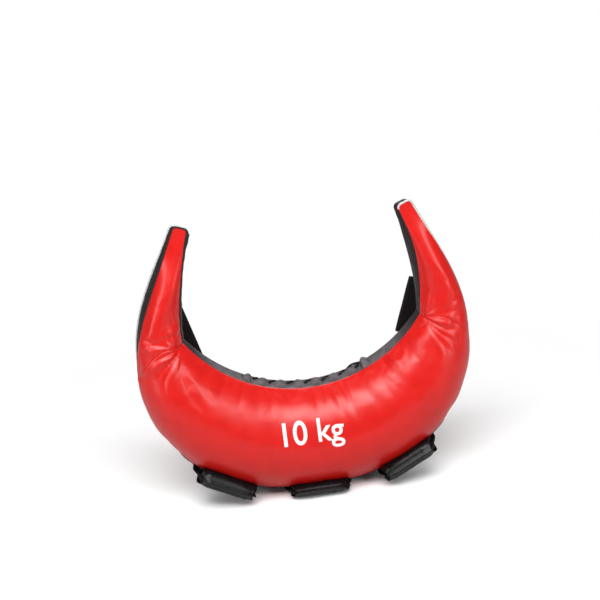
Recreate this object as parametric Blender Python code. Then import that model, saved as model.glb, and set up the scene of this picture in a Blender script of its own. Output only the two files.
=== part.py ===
"""A crescent-shaped sand bag for strength training, standing on its belly, front face toward -Y.

Two sewn faces, each a belly panel and two horn panels, are joined by gusset strips and piped
seams. The inner edge closes with a lacing, the outer edge carries three padded handles, and
each horn has a hand strap sewn on its back. Metres, +Z up, the bag rests on Z = 0.
"""
import math

import bmesh
import bpy
from mathutils import Matrix, Vector
from mathutils.bvhtree import BVHTree

for old in list(bpy.data.objects):
    bpy.data.objects.remove(old, do_unlink=True)

# Cut of the faces, seen from the front: the inner seam round the neck, the outer round the back
HALF_WIDTH = 0.2695                  # middle to the outer seam, where the bag is widest
WIDEST_RISE = 0.225                  # lowest point of the outer seam up to that place
OUTER_FULLNESS = 2.1                 # superellipse power of the outer seam, 2 is an ellipse
CONTACT_HALF_LENGTH = 0.012          # flattened middle of the outer seam, which the bag stands on
BELLY_HEIGHT = 0.1705                # outer to inner seam at the middle
INNER_RADIUS = 0.2335                # arc of the inner seam between the horns
INNER_SWEEP = math.radians(55.8)
HORN_RISE = 0.2365                   # widest place up to the outer corner of a horn's end
TIP_OUTER_X = 0.186                  # that corner, from the middle
TIP_WIDTH = 0.0232                   # face of the bag at a horn's end
TIP_TILT = math.radians(21.5)
TIP_CORNER = 0.0065                  # rounding of the end's corners
HORN_BOW = 0.00985                   # inner seam of a horn, away from its chord
HORN_SHOULDER = 0.078                # tangents that shape the outer seam of a horn
HORN_TAPER = 0.119
HORN_LEAN = math.radians(25.5)

# Depth of the stuffed bag, front to back, and width of the gusset between the faces
BELLY_HALF_DEPTH = 0.080
NECK_HALF_DEPTH = 0.048
TIP_HALF_DEPTH = 0.0155
DEPTH_POWER = 4                      # how late the belly thins towards the necks
TIP_ROUNDING = 0.030                 # last stretch of a horn, where its faces flatten
BELLY_HALF_GUSSET = 0.022
NECK_HALF_GUSSET = 0.0195
TIP_HALF_GUSSET = 0.0105
HORN_GUSSET_BULGE = 0.0055
TIP_GUSSET_BULGE = 0.004
ARC_GUSSET_BULGE = 0.003

# Cross seam at the neck, as shares of the horn's length above the kink of the inner seam
NECK_SEAM_EDGE_SHARE = 0.06
NECK_SEAM_BOW_SHARE = 0.12

# Cloth, webbing and cord
SKIN = 0.0016                        # coated cloth of faces and gussets
SACK_CLOTH = 0.0008
PLACKET_CLOTH = 0.0010
PIPING_RADIUS = 0.0016
WEBBING = 0.0022
LACE_RADIUS = 0.0015
CLEARANCE = 0.0003
SEAM_ALLOWANCE = PIPING_RADIUS + CLEARANCE + SKIN / 8

# Lacing in the middle of the inner gusset
LACING_HALF_LENGTH = 0.110           # along the inner seam
LACE_PITCH = 0.030
LACE_HALF_WIDTH = 0.0084
LACE_HALF_HEIGHT = 0.0050
LACE_CENTRE = 0.0067                 # over the seam line
EYELET_RADIUS = 0.0034
FLAP_GAP = 0.0030                    # middle to the edge of each flap
FLAP_RIDGE = 0.0090                  # height of that edge
FLAP_SCALLOP = 0.0018
FLAP_CURVE = 1.6
FLAP_END_SHARE = 0.35                # height of the ridge at the ends of the lacing
RIDGE_FADE_SHARE = 1 / 3             # of a pitch of the lace, in which it falls to that
LACE_END_SHARE = 0.42                # of a turn past the last crossing, tucked under the ridge
CROSSING_SHARES = (0.25, 0.45)       # of a turn between which the lace goes through a flap
EYELET_CUT = SKIN * 4
PLACKET_SHARE = 0.8                  # of the gusset between the seams

# Carrying handles and the webbing under them, along the outer gusset
HANDLE_SPACING = 0.158
STRAP_HALF_LENGTH = 0.245
STRAP_HALF_WIDTH = 0.019
ROOT_INNER = 0.057                   # the free webbing leaves the strap between these distances
ROOT_OUTER = 0.068                   # from the handle's middle
LEG_WIDTH = 0.011                    # at the grip
HANDLE_REACH = 0.0605                 # hinge line to the middle of the grip, along the webbing
HANDLE_FLAT = 0.024                  # part of it that lies flat, past the piping
BEND_RADIUS = 0.012
GRIP_LENGTH = 0.098
GRIP_HALF_WIDTH = 0.0195
GRIP_HALF_THICKNESS = 0.0120
GRIP_SKIN = 0.0014
GRIP_HEM = 0.004                     # sleeve beyond the foam at each end
GRIP_CURL = math.radians(20.0)       # bend of the webbing between hinge line and grip
GRIP_FULLNESS = 2.4
BAR_HALF_WIDTH = 0.0110              # webbing inside the grip
PILLOW_SHARES = ((-1, 0.93), (-0.8, 1), (0.8, 1), (1, 0.93))    # along the grip, share of its section
REST_GAP = 0.0005                    # grip or strap to what it leans on

# Hand straps on the backs of the horns
HAND_STRAP_HALF_WIDTH = 0.025
HAND_STRAP_DROP = 0.106              # hinge line to the fold at the end
HAND_STRAP_ROW_SHARE = 0.28          # middle of the hinge line, along the horn from the neck
HAND_STRAP_ACROSS_SHARE = 0.71       # and across it from the outer seam
HAND_STRAP_TURN = math.radians(6.9)  # lean of the strap beyond that of the horn
HAND_STRAP_PATCH = 0.042             # sewn-down length above the hinge line
PLY_GAP = 0.0030                     # between the two plies of the hanging loop

# Rows of the bag run from the left horn's end, -2, by the necks, -1 and 1, to the right's, 2
LACING_ROWS = 13
SHOULDER_ROWS = 7
HORN_ROWS = 9
FACE_COLUMNS = 8
GUSSET_COLUMNS = 3
CORNER_STEPS = 3
FLAP_ROWS = 30
FLAP_COLUMNS = 4
EYELET_SIDES = 10
LACE_STEPS = 12                      # points of the lace in a turn
STRAP_ROWS = 60
GRIP_SIDES = 16
FOLD_STEPS = 4
PATCH_ROWS = 6
PATCH_COLUMNS = 7
LENGTH_STEPS = 400                   # of the outer seam, when it is measured
SCAN_ROWS = 120                      # of the half bag, when it is searched for what leans on it
SCAN_COLUMNS = 40
SCAN_END_ROW = 1.4                   # the rows which the handles can touch end here
SCAN_START_ROW = 0.5                 # and those which the hand straps can touch start here
FIT_STEPS = 14                       # halvings, when a handle is laid against the bag
CORD_ROUNDING = 0                    # bevel resolution of piping and lace
SHARP_ANGLE = math.radians(40)
STEP = 1e-4                          # share of a row or face, for measuring slopes

OUTER_LOW = WEBBING + CLEARANCE
INNER_LOW = OUTER_LOW + BELLY_HEIGHT
INNER_ARC = INNER_RADIUS * INNER_SWEEP
LACING_END_SHARE = LACING_HALF_LENGTH / INNER_ARC
FLAT_SHARE = LACING_END_SHARE / LACING_ROWS
CUT_SHARE = CLEARANCE / INNER_ARC    # a clearance, as a share of the belly's inner seam
SEAM_Y = Vector((0, 1, 0))

COLOURS = {
    "red": ((0.62, 0.012, 0.014), 0.38),
    "grey": ((0.10, 0.09, 0.095), 0.55),
    "piping": ((0.16, 0.16, 0.17), 0.45),
    "black": ((0.012, 0.012, 0.013), 0.80),
    "sleeve": ((0.015, 0.015, 0.016), 0.35),
    "foam": ((0.55, 0.55, 0.53), 0.90),
    "sack": ((0.60, 0.58, 0.52), 0.85),
    "sand": ((0.46, 0.36, 0.22), 0.95),
    "stuffing": ((0.50, 0.48, 0.44), 0.95),
}


def blend(a, b, share):
    return a + (b - a) * share


def smooth(share):
    share = min(max(share, 0.0), 1.0)
    return share * share * (3.0 - 2.0 * share)


def spread(low, high, count):
    return [blend(low, high, step / count) for step in range(count + 1)]


def bisect(low, high, too_low, steps=40):
    """The value between low and high where too_low turns from true to false."""
    for _ in range(steps):
        middle = (low + high) / 2
        if too_low(middle):
            low = middle
        else:
            high = middle
    return high


# Seam lines in the XZ plane, right half, with t from 0 in the middle to 2 at the horn's end
TIP_ALONG = Vector((math.cos(TIP_TILT), 0, math.sin(TIP_TILT)))
TIP_UP = Vector((-math.sin(TIP_TILT), 0, math.cos(TIP_TILT)))
TIP_OUTER = Vector((TIP_OUTER_X, 0, OUTER_LOW + WIDEST_RISE + HORN_RISE))
TIP_INNER = TIP_OUTER - TIP_ALONG * TIP_WIDTH
HORN_OUTER_END = TIP_OUTER - TIP_UP * TIP_CORNER
HORN_INNER_END = TIP_INNER - TIP_UP * TIP_CORNER
WIDEST = Vector((HALF_WIDTH, 0, OUTER_LOW + WIDEST_RISE))
HORN_OUTER_POLE = WIDEST + Vector((0, 0, HORN_SHOULDER))
HORN_TIP_POLE = HORN_OUTER_END + HORN_TAPER * Vector((math.sin(HORN_LEAN), 0, -math.cos(HORN_LEAN)))
KINK = Vector((INNER_RADIUS * math.sin(INNER_SWEEP), 0,
               INNER_LOW + INNER_RADIUS * (1 - math.cos(INNER_SWEEP))))
HORN_CHORD = (HORN_INNER_END - KINK).normalized()
BOW_SIDE = Vector((HORN_CHORD.z, 0, -HORN_CHORD.x))
HORN_INNER_POLE = (KINK + HORN_INNER_END) / 2 + BOW_SIDE * 2 * HORN_BOW


def inner_seam(t):
    """Point of the inner seam line."""
    if t <= 1:
        turn = t * INNER_SWEEP
        rise = INNER_RADIUS * (1 - math.cos(turn))
        return Vector((INNER_RADIUS * math.sin(turn), 0, INNER_LOW + rise))
    s = t - 1
    return KINK * (1 - s) ** 2 + HORN_INNER_POLE * (2 * s * (1 - s)) + HORN_INNER_END * s ** 2


def outer_seam(t):
    """Point of the outer seam line."""
    if t <= FLAT_SHARE:
        return Vector((CONTACT_HALF_LENGTH * t / FLAT_SHARE, 0, OUTER_LOW))
    if t <= 1:
        turn = math.pi / 2 * (t - FLAT_SHARE) / (1 - FLAT_SHARE)
        across = math.sin(turn) ** (2 / OUTER_FULLNESS)
        drop = max(math.cos(turn), 0.0) ** (2 / OUTER_FULLNESS)
        return Vector((blend(CONTACT_HALF_LENGTH, HALF_WIDTH, across), 0,
                       OUTER_LOW + WIDEST_RISE * (1 - drop)))
    s = t - 1
    return (WIDEST * (1 - s) ** 3 + HORN_OUTER_POLE * (3 * s * (1 - s) ** 2)
            + HORN_TIP_POLE * (3 * s ** 2 * (1 - s)) + HORN_OUTER_END * s ** 3)


def half_depth(t):
    if t <= 1:
        return blend(BELLY_HALF_DEPTH, NECK_HALF_DEPTH, t ** DEPTH_POWER)
    return blend(NECK_HALF_DEPTH, TIP_HALF_DEPTH, t - 1)


def half_gusset(t):
    if t <= 1:
        return blend(BELLY_HALF_GUSSET, NECK_HALF_GUSSET, t ** DEPTH_POWER)
    return blend(NECK_HALF_GUSSET, TIP_HALF_GUSSET, (t - 1) ** 2)


def swell(t):
    """How far the faces keep their full arch: 1, falling to 0 at the very end of a horn."""
    if t <= 1:
        return 1.0
    left = (HORN_INNER_END - inner_seam(t)).length
    return smooth(left / TIP_ROUNDING)


def station(row, q):
    """Place along the bag of a row at share q of its width, outer seam 0, inner seam 1."""
    lift = NECK_SEAM_EDGE_SHARE * (1 - q) + NECK_SEAM_BOW_SHARE * (4 * q * (1 - q)) ** 2
    if row <= 1:
        return row * (1 + lift)
    return blend(1 + lift, 2, row - 1)


def mirrored(point, sign):
    return Vector((sign * point.x, point.y, point.z))


def face_point(row, q, side):
    """Surface of the front (side -1) or back (side 1) face."""
    sign = -1 if row < 0 else 1
    t = min(station(min(abs(row), 2), q), 2)
    inner = inner_seam(t)
    outer = outer_seam(t)
    half = (outer - inner).length / 2
    across = (outer - inner).normalized()
    depth = half_depth(t)
    gusset = half_gusset(t)
    low = math.asin(gusset / depth)
    turn = blend(low, math.pi - low, q)
    full = swell(t)
    wide = half / math.cos(low)
    x = blend(half * (1 - 2 * q), wide * math.cos(turn), full)
    y = blend(gusset, depth * math.sin(turn), full)
    point = (inner + outer) / 2 + across * x
    return mirrored(Vector((point.x, side * y, point.z)), sign)


def face_normal(row, q, side):
    q = min(max(q, STEP), 1 - STEP)
    along = face_point(row + STEP, q, side) - face_point(row - STEP, q, side)
    across = face_point(row, q + STEP, side) - face_point(row, q - STEP, side)
    normal = along.cross(across).normalized()
    t = min(station(min(abs(row), 2), q), 2)
    middle = mirrored((inner_seam(t) + outer_seam(t)) / 2, -1 if row < 0 else 1)
    out = face_point(row, q, side) - middle
    return normal if normal.dot(out) > 0 else -normal


def face_share(row, column, columns, side):
    """Share q of a face's column, with its outer columns a seam allowance from the seams."""
    def inset(q):
        ahead = face_point(row, abs(q - STEP), side)
        return SEAM_ALLOWANCE / (ahead - face_point(row, q, side)).length * STEP
    return blend(inset(0), 1 - inset(1), column / columns)


def seam_normal(row, edge):
    """Outward direction, in the XZ plane, at the outer (edge 1) or inner (edge -1) seam."""
    line = outer_seam if edge > 0 else inner_seam
    q = 0 if edge > 0 else 1
    t = station(abs(row), q)
    ahead = line(min(t + STEP, 2)) - line(max(t - STEP, 0))
    normal = Vector((ahead.z, 0, -ahead.x)).normalized() * edge
    return mirrored(normal, -1 if row < 0 else 1)


def seam_point(row, edge):
    t = station(abs(row), 0 if edge > 0 else 1)
    point = outer_seam(t) if edge > 0 else inner_seam(t)
    return mirrored(point, -1 if row < 0 else 1)


def gusset_bulge(row, edge):
    rise = smooth((abs(row) - 1) * 3)
    base = 0 if edge > 0 else ARC_GUSSET_BULGE
    crown = blend(base, HORN_GUSSET_BULGE, rise)
    return blend(crown, TIP_GUSSET_BULGE, max(abs(row) - 1, 0) ** 2)


def gusset_frame(row, edge):
    """Seam point, outward direction, half width of the strip and its bulge."""
    half = half_gusset(station(abs(row), 0 if edge > 0 else 1)) - SEAM_ALLOWANCE
    return seam_point(row, edge), seam_normal(row, edge), half, gusset_bulge(row, edge)


def tip_frames(sign):
    """The same round the end of a horn, from its outer to its inner side."""
    frames = []
    half = TIP_HALF_GUSSET - SEAM_ALLOWANCE
    for corner, start in ((TIP_OUTER - TIP_ALONG * TIP_CORNER, 0), (TIP_INNER + TIP_ALONG * TIP_CORNER, 90)):
        centre = corner - TIP_UP * TIP_CORNER
        for step in range(CORNER_STEPS + 1):
            turn = math.radians(start + 90 * step / CORNER_STEPS)
            out = TIP_ALONG * math.cos(turn) + TIP_UP * math.sin(turn)
            point = centre + out * TIP_CORNER
            frames.append((mirrored(point, sign), mirrored(out, sign), half, TIP_GUSSET_BULGE))
    return frames


def strip_point(frame, share, depth):
    """Point of a gusset strip at a share of its half width, sunk to a depth below its surface."""
    point, out, half, bulge = frame
    slope = 2 * bulge * share / half
    normal = (out + SEAM_Y * slope).normalized()
    return point + out * (bulge * (1 - share ** 2)) + SEAM_Y * (share * half) - normal * depth


# Rows along the bag, closer where the lacing is
SHOULDER = spread(LACING_END_SHARE, 1, SHOULDER_ROWS)
MIDDLE = spread(-LACING_END_SHARE, LACING_END_SHARE, LACING_ROWS)
BELLY_ROWS = [-row for row in reversed(SHOULDER[1:])] + MIDDLE + SHOULDER[1:]
HORN_ROW_LIST = spread(1, 2, HORN_ROWS)
STRIP_SHARES = spread(-1, 1, GUSSET_COLUMNS)


def trimmed(rows, low=0.0, high=0.0):
    """The rows with the first and last moved inwards by a share."""
    return [rows[0] + low] + rows[1:-1] + [rows[-1] - high]


# Making objects
def placed(name, data, colour):
    """An object of that mesh or curve, with a material of its own."""
    shade, roughness = COLOURS[colour]
    material = bpy.data.materials.new(name)
    material.use_nodes = True
    shader = material.node_tree.nodes["Principled BSDF"]
    shader.inputs["Base Color"].default_value = (*shade, 1)
    shader.inputs["Roughness"].default_value = roughness
    data.materials.append(material)
    obj = bpy.data.objects.new(name, data)
    bpy.context.scene.collection.objects.link(obj)
    return obj


def solid(name, points, faces, colour):
    """A closed body from its points and faces."""
    mesh = bpy.data.meshes.new(name)
    mesh.from_pydata(points, [], faces)
    body = bmesh.new()
    body.from_mesh(mesh)
    bmesh.ops.recalc_face_normals(body, faces=body.faces)
    body.to_mesh(mesh)
    body.free()
    mesh.shade_smooth()
    mesh.set_sharp_from_angle(angle=SHARP_ANGLE)
    return placed(name, mesh, colour)


def grid(rows, columns, ring=False):
    """Triangles of a grid of points, row by row; a ring joins its last column to the first."""
    faces = []
    for row in range(rows - 1):
        for column in range(columns if ring else columns - 1):
            beside = (column + 1) % columns
            a = row * columns + column
            b = row * columns + beside
            faces.append((a, b, b + columns))
            faces.append((a, b + columns, a + columns))
    return faces


def walled(outer, inner, sheet):
    """Points and faces of a cloth: its outer sheet, inner sheet and cut edges."""
    count = len(outer)
    sides = {}
    for face in sheet:
        for a, b in zip(face, face[1:] + face[:1]):
            sides[(a, b)] = True
    faces = list(sheet)
    faces += [tuple(count + corner for corner in reversed(face)) for face in sheet]
    for a, b in sides:
        if (b, a) not in sides:
            faces.append((b, a, count + a, count + b))
    return list(outer) + list(inner), faces


def cloth(name, rows, colour):
    """A cloth from rows of (outer point, inner point)."""
    outer = [pair[0] for row in rows for pair in row]
    inner = [pair[1] for row in rows for pair in row]
    points, faces = walled(outer, inner, grid(len(rows), len(rows[0])))
    return solid(name, points, faces, colour)


def filled(name, rings, colour):
    """A body from closed rings of points, with a fan of faces at each end."""
    points = [point for ring in rings for point in ring]
    size = len(rings[0])
    faces = grid(len(rings), size, ring=True)
    for ring, first in ((rings[0], 0), (rings[-1], len(points) - size)):
        points.append(sum(ring, Vector()) / size)
        for corner in range(size):
            faces.append((len(points) - 1, first + corner, first + (corner + 1) % size))
    return solid(name, points, faces, colour)


def tube(name, path, radius, colour, closed=False):
    """A round cord along a list of points."""
    curve = bpy.data.curves.new(name, "CURVE")
    curve.dimensions = "3D"
    curve.bevel_depth = radius
    curve.bevel_resolution = CORD_ROUNDING
    curve.use_fill_caps = not closed
    line = curve.splines.new("POLY")
    line.points.add(len(path) - 1)
    for knot, point in zip(line.points, path):
        knot.co = (*point, 1)
    line.use_cyclic_u = closed
    return placed(name, curve, colour)


# Faces of the bag: a belly panel and two horn panels each, meeting at the neck seams
def face_pair(row, column, side):
    q = face_share(row, column, FACE_COLUMNS, side)
    point = face_point(row, q, side)
    return point, point - face_normal(row, q, side) * SKIN


def horn_end_pairs(sign, side):
    """Rows of a horn panel round the corners of the horn's end."""
    radius = TIP_CORNER - SEAM_ALLOWANCE
    middle = (TIP_OUTER + TIP_INNER) / 2 - TIP_UP * TIP_CORNER
    rows = []
    for step in range(1, CORNER_STEPS + 1):
        turn = math.radians(90 * step / CORNER_STEPS)
        half = TIP_WIDTH / 2 - TIP_CORNER + radius * math.cos(turn)
        row = []
        for column in range(FACE_COLUMNS + 1):
            along = half * (1 - 2 * column / FACE_COLUMNS)
            flat = middle + TIP_ALONG * along + TIP_UP * (radius * math.sin(turn))
            point = mirrored(flat, sign) + SEAM_Y * (side * TIP_HALF_GUSSET)
            row.append((point, point - SEAM_Y * (side * SKIN)))
        rows.append(row)
    return rows


for word, side in (("front", -1), ("back", 1)):
    rows = trimmed(BELLY_ROWS, CUT_SHARE / 2, CUT_SHARE / 2)
    pairs = [[face_pair(row, column, side) for column in range(FACE_COLUMNS + 1)] for row in rows]
    cloth(f"{word}_belly_panel", pairs, "red")
    for hand, sign in (("left", -1), ("right", 1)):
        rows = trimmed(HORN_ROW_LIST, CUT_SHARE)
        pairs = [[face_pair(sign * row, column, side) for column in range(FACE_COLUMNS + 1)]
                 for row in rows]
        cloth(f"{word}_horn_panel_{hand}", pairs + horn_end_pairs(sign, side), "red")


# Gussets: one strip round the outside and over both ends, and one up the inside of each horn
def strip(name, frames):
    pairs = [[(strip_point(frame, share, 0), strip_point(frame, share, SKIN)) for share in STRIP_SHARES]
             for frame in frames]
    return cloth(name, pairs, "grey")


outer_rows = [-row for row in reversed(HORN_ROW_LIST[1:-1])] + BELLY_ROWS + HORN_ROW_LIST[1:-1]
outer_frames = [gusset_frame(row, 1) for row in outer_rows]
strip("outer_gusset", list(reversed(tip_frames(-1))) + outer_frames + tip_frames(1))

for hand, sign in (("left", -1), ("right", 1)):
    rows = trimmed(SHOULDER + HORN_ROW_LIST[1:], CUT_SHARE, CUT_SHARE)
    strip(f"inner_gusset_{hand}", [gusset_frame(sign * row, -1) for row in rows])

# Piping in both seams all the way round
def piping_path(side):
    frames = [gusset_frame(row, 1) for row in outer_rows]
    inner_rows = list(reversed(HORN_ROW_LIST[1:-1])) + list(reversed(BELLY_ROWS))
    inner_rows += [-row for row in HORN_ROW_LIST[1:-1]]
    frames += tip_frames(1)
    frames += [gusset_frame(row, -1) for row in inner_rows]
    frames += list(reversed(tip_frames(-1)))
    return [frame[0] + SEAM_Y * (side * (frame[2] + SEAM_ALLOWANCE)) for frame in frames]


for word, side in (("front", -1), ("back", 1)):
    tube(f"{word}_piping", piping_path(side), PIPING_RADIUS, "piping", closed=True)


# Lacing: two flaps drawn up into a ridge, a lace round both edges and a placket beneath
def lacing_frame(along):
    """Point of the inner seam line and its outward direction, a distance along it."""
    turn = along / INNER_RADIUS
    out = Vector((-math.sin(turn), 0, math.cos(turn)))
    return Vector((0, 0, INNER_LOW + INNER_RADIUS)) - out * INNER_RADIUS, out


def flap_point(along, share, side):
    base, out = lacing_frame(along)
    edge = BELLY_HALF_GUSSET - SEAM_ALLOWANCE
    left = 1 - abs(along) / LACING_HALF_LENGTH
    full = smooth(left * LACING_HALF_LENGTH / (LACE_PITCH * RIDGE_FADE_SHARE))
    ridge = FLAP_RIDGE * blend(FLAP_END_SHARE, 1, full)
    ridge -= FLAP_SCALLOP * math.cos(2 * math.pi * along / LACE_PITCH) * full
    return base + out * (ridge * share ** FLAP_CURVE) + SEAM_Y * (side * blend(edge, FLAP_GAP, share))


def flap_pair(along, share, side):
    reach = STEP * LACING_HALF_LENGTH
    ahead = flap_point(along + reach, share, side) - flap_point(along - reach, share, side)
    low = max(share - STEP, 0)
    across = flap_point(along, share + STEP, side) - flap_point(along, low, side)
    normal = ahead.cross(across).normalized() * side
    point = flap_point(along, share, side)
    return point, point - normal * SKIN * (1 if normal.z > 0 else -1)


def lace_point(turns):
    """Point of the lace, which climbs through the front flap and over the ridge each turn."""
    base, out = lacing_frame(turns * LACE_PITCH)
    angle = 2 * math.pi * turns
    return (base + out * (LACE_CENTRE + LACE_HALF_HEIGHT * math.cos(angle))
            + SEAM_Y * (LACE_HALF_WIDTH * math.sin(angle)))


LACE_TURNS = math.floor(2 * LACING_HALF_LENGTH / LACE_PITCH) // 2


def flap_share(point):
    """Share across its flap at which a point of the lace lies."""
    edge = BELLY_HALF_GUSSET - SEAM_ALLOWANCE
    return (edge - abs(point.y)) / (edge - FLAP_GAP)


def crossing(turn, side):
    """Turns of the lace to where it goes through a flap, on the way down from a top of the ridge."""
    def above(share):
        turns = turn + side * share
        point = lace_point(turns)
        out = lacing_frame(turns * LACE_PITCH)[1]
        top, bottom = flap_pair(turns * LACE_PITCH, flap_share(point), side)
        return (point - (top + bottom) / 2).dot(out) > 0
    return turn + side * bisect(*CROSSING_SHARES, above)


for word, side in (("front", -1), ("back", 1)):
    alongs = spread(-LACING_HALF_LENGTH, LACING_HALF_LENGTH, FLAP_ROWS)
    pairs = [[flap_pair(along, column / FLAP_COLUMNS, side) for column in range(FLAP_COLUMNS + 1)]
             for along in alongs]
    flap = cloth(f"lacing_flap_{word}", pairs, "grey")
    holes = bmesh.new()
    for turn in range(-LACE_TURNS, LACE_TURNS + 1):
        turns = crossing(turn, side)
        top, bottom = flap_pair(turns * LACE_PITCH, flap_share(lace_point(turns)), side)
        aim = (top - bottom).to_track_quat("Z", "Y").to_matrix().to_4x4()
        bmesh.ops.create_cone(holes, cap_ends=True, segments=EYELET_SIDES, radius1=EYELET_RADIUS,
                              radius2=EYELET_RADIUS, depth=EYELET_CUT,
                              matrix=Matrix.Translation((top + bottom) / 2) @ aim)
    cutter_mesh = bpy.data.meshes.new(f"eyelet_cutter_{word}")
    holes.to_mesh(cutter_mesh)
    holes.free()
    cutter = bpy.data.objects.new(f"eyelet_cutter_{word}", cutter_mesh)
    bpy.context.scene.collection.objects.link(cutter)
    cutter.hide_render = True
    cutter.display_type = "WIRE"
    cut = flap.modifiers.new("eyelets", "BOOLEAN")
    cut.operation = "DIFFERENCE"
    cut.solver = "EXACT"
    cut.object = cutter

LACE_REACH = LACE_TURNS + LACE_END_SHARE
LACE_POINTS = math.ceil(2 * LACE_REACH * LACE_STEPS)
tube("lacing_cord", [lace_point(turns) for turns in spread(-LACE_REACH, LACE_REACH, LACE_POINTS)],
     LACE_RADIUS, "black")

PLACKET_DEPTH = SKIN + 2 * CLEARANCE
PLACKET_HALF_WIDTH = (BELLY_HALF_GUSSET - SEAM_ALLOWANCE) * PLACKET_SHARE
placket_rows = []
for row in MIDDLE:
    base, out = seam_point(row, -1), seam_normal(row, -1)
    base -= out * PLACKET_DEPTH
    placket_rows.append([(base + SEAM_Y * (share * PLACKET_HALF_WIDTH),
                          base - out * PLACKET_CLOTH + SEAM_Y * (share * PLACKET_HALF_WIDTH))
                         for share in STRIP_SHARES])
cloth("lacing_placket", placket_rows, "black")


# Filling: a sack of sand in the belly, open in a slit under the lacing, and stuffed horns
def ring_at(row, depth, stride=1):
    """Closed outline of the stuffed bag at a row, sunk below its surface by a depth."""
    points = []
    for side in (-1, 1):
        face = []
        for column in range(0, FACE_COLUMNS + 1, stride):
            q = face_share(row, column, FACE_COLUMNS, side)
            face.append(face_point(row, q, side) - face_normal(row, q, side) * depth)
        points.append(face)
    edges = []
    laced = abs(row) < LACING_END_SHARE + STEP
    for edge in (1, -1):
        frame = gusset_frame(row, edge)
        if laced and edge < 0:
            low = depth - SACK_DEPTH + PLACKET_DEPTH + PLACKET_CLOTH + CLEARANCE
            frame = (frame[0] - frame[1] * low, frame[1], frame[2], 0)
            edges.append([strip_point(frame, share, 0) for share in STRIP_SHARES])
        else:
            edges.append([strip_point(frame, share, depth) for share in STRIP_SHARES])
    front, back = points
    return front + edges[1] + list(reversed(back)) + list(reversed(edges[0]))


SACK_DEPTH = SKIN + 4 * CLEARANCE
SAND_DEPTH = SACK_DEPTH + SACK_CLOTH + CLEARANCE
STUFFING_DEPTH = SACK_DEPTH + 3 * CLEARANCE
SACK_END = CUT_SHARE * 3
SACK_INNER_END = SACK_END * 2
SAND_END = SACK_INNER_END + CUT_SHARE * 2
sack_rows = trimmed(BELLY_ROWS, SACK_END, SACK_END)
sack_inside = trimmed(BELLY_ROWS, SACK_INNER_END, SACK_INNER_END)
sand_rows = trimmed(BELLY_ROWS, SAND_END, SAND_END)
filled("belly_filling", [ring_at(row, SAND_DEPTH, 2) for row in sand_rows], "sand")

outer_rings = [ring_at(row, SACK_DEPTH, 2) for row in sack_rows]
inner_rings = [ring_at(row, SACK_DEPTH + SACK_CLOTH, 2) for row in sack_inside]
size = len(outer_rings[0])
sheet = grid(len(outer_rings), size, ring=True)
slit = FACE_COLUMNS // 2 + 2
middle_row = len(MIDDLE) // 2 + SHOULDER_ROWS - 1
mouth = {row * size + slit for row in (middle_row - 1, middle_row, middle_row + 1)}
sheet = [face for face in sheet if min(face) not in mouth]
outer_points = [point for ring in outer_rings for point in ring]
inner_points = [point for ring in inner_rings for point in ring]
for rings, points in ((outer_rings, outer_points), (inner_rings, inner_points)):
    points.append(sum(rings[0], Vector()) / size)
    points.append(sum(rings[-1], Vector()) / size)
last = len(outer_points) - 2 - size
for corner in range(size):
    beside = (corner + 1) % size
    sheet.append((len(outer_points) - 2, beside, corner))
    sheet.append((len(outer_points) - 1, last + corner, last + beside))
points, faces = walled(outer_points, inner_points, sheet)
solid("filling_sack", points, faces, "sack")

for hand, sign in (("left", -1), ("right", 1)):
    rows = trimmed(HORN_ROW_LIST[:-1], SACK_INNER_END)
    filled(f"horn_stuffing_{hand}", [ring_at(sign * row, STUFFING_DEPTH) for row in rows], "stuffing")


# Webbing along the outer gusset, which the handles are sewn to
def outer_lengths():
    """Distances along the outer seam with their places, from its middle to the neck."""
    table = [(0.0, 0.0)]
    for step in range(1, LENGTH_STEPS + 1):
        gap = outer_seam(step / LENGTH_STEPS) - outer_seam((step - 1) / LENGTH_STEPS)
        table.append((table[-1][0] + gap.length, step / LENGTH_STEPS))
    return table


OUTER_TABLE = outer_lengths()


def place_at(distance):
    """Place t on the outer seam at a distance from its middle."""
    for (low, a), (high, b) in zip(OUTER_TABLE, OUTER_TABLE[1:]):
        if low <= distance <= high:
            return blend(a, b, (distance - low) / (high - low))
    return OUTER_TABLE[-1][1]


def outer_frame(distance):
    """Point and outward direction on the outer seam at a signed distance from its middle."""
    t = place_at(abs(distance))
    ahead = outer_seam(t + STEP) - outer_seam(max(t - STEP, 0))
    out = Vector((ahead.z, 0, -ahead.x)).normalized()
    sign = -1 if distance < 0 else 1
    return mirrored(outer_seam(t), sign), mirrored(out, sign)


strap_rows = []
for distance in spread(-STRAP_HALF_LENGTH, STRAP_HALF_LENGTH, STRAP_ROWS):
    base, out = outer_frame(distance)
    strap_rows.append([(base + out * (CLEARANCE + WEBBING) + SEAM_Y * (share * STRAP_HALF_WIDTH),
                        base + out * CLEARANCE + SEAM_Y * (share * STRAP_HALF_WIDTH))
                       for share in (-1, 1)])
cloth("base_strap", strap_rows, "black")


# Handles: webbing that leaves the strap, with a foam core and a coated sleeve on its bar
def webbing_path(reach, dip, curl):
    """Middle of the webbing (y, z) and its direction, a length from the hinge line."""
    bend = BEND_RADIUS * curl
    flat = min(reach, HANDLE_FLAT)
    y, z = -flat * math.cos(dip), -flat * math.sin(dip)
    turned = min(max(reach - HANDLE_FLAT, 0), bend) / BEND_RADIUS
    y -= BEND_RADIUS * (math.sin(turned - dip) + math.sin(dip))
    z += BEND_RADIUS * (math.cos(dip) - math.cos(turned - dip))
    beyond = max(reach - HANDLE_FLAT - bend, 0)
    heading = turned - dip
    return y - beyond * math.cos(heading), z + beyond * math.sin(heading), heading


def sampled_face(side):
    """Points all over one face of the bag, for finding what leans on it."""
    return [face_point(row, q, side) for row in spread(-SCAN_END_ROW, SCAN_END_ROW, 2 * SCAN_ROWS)
            for q in spread(0, 1, SCAN_COLUMNS)]


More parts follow.
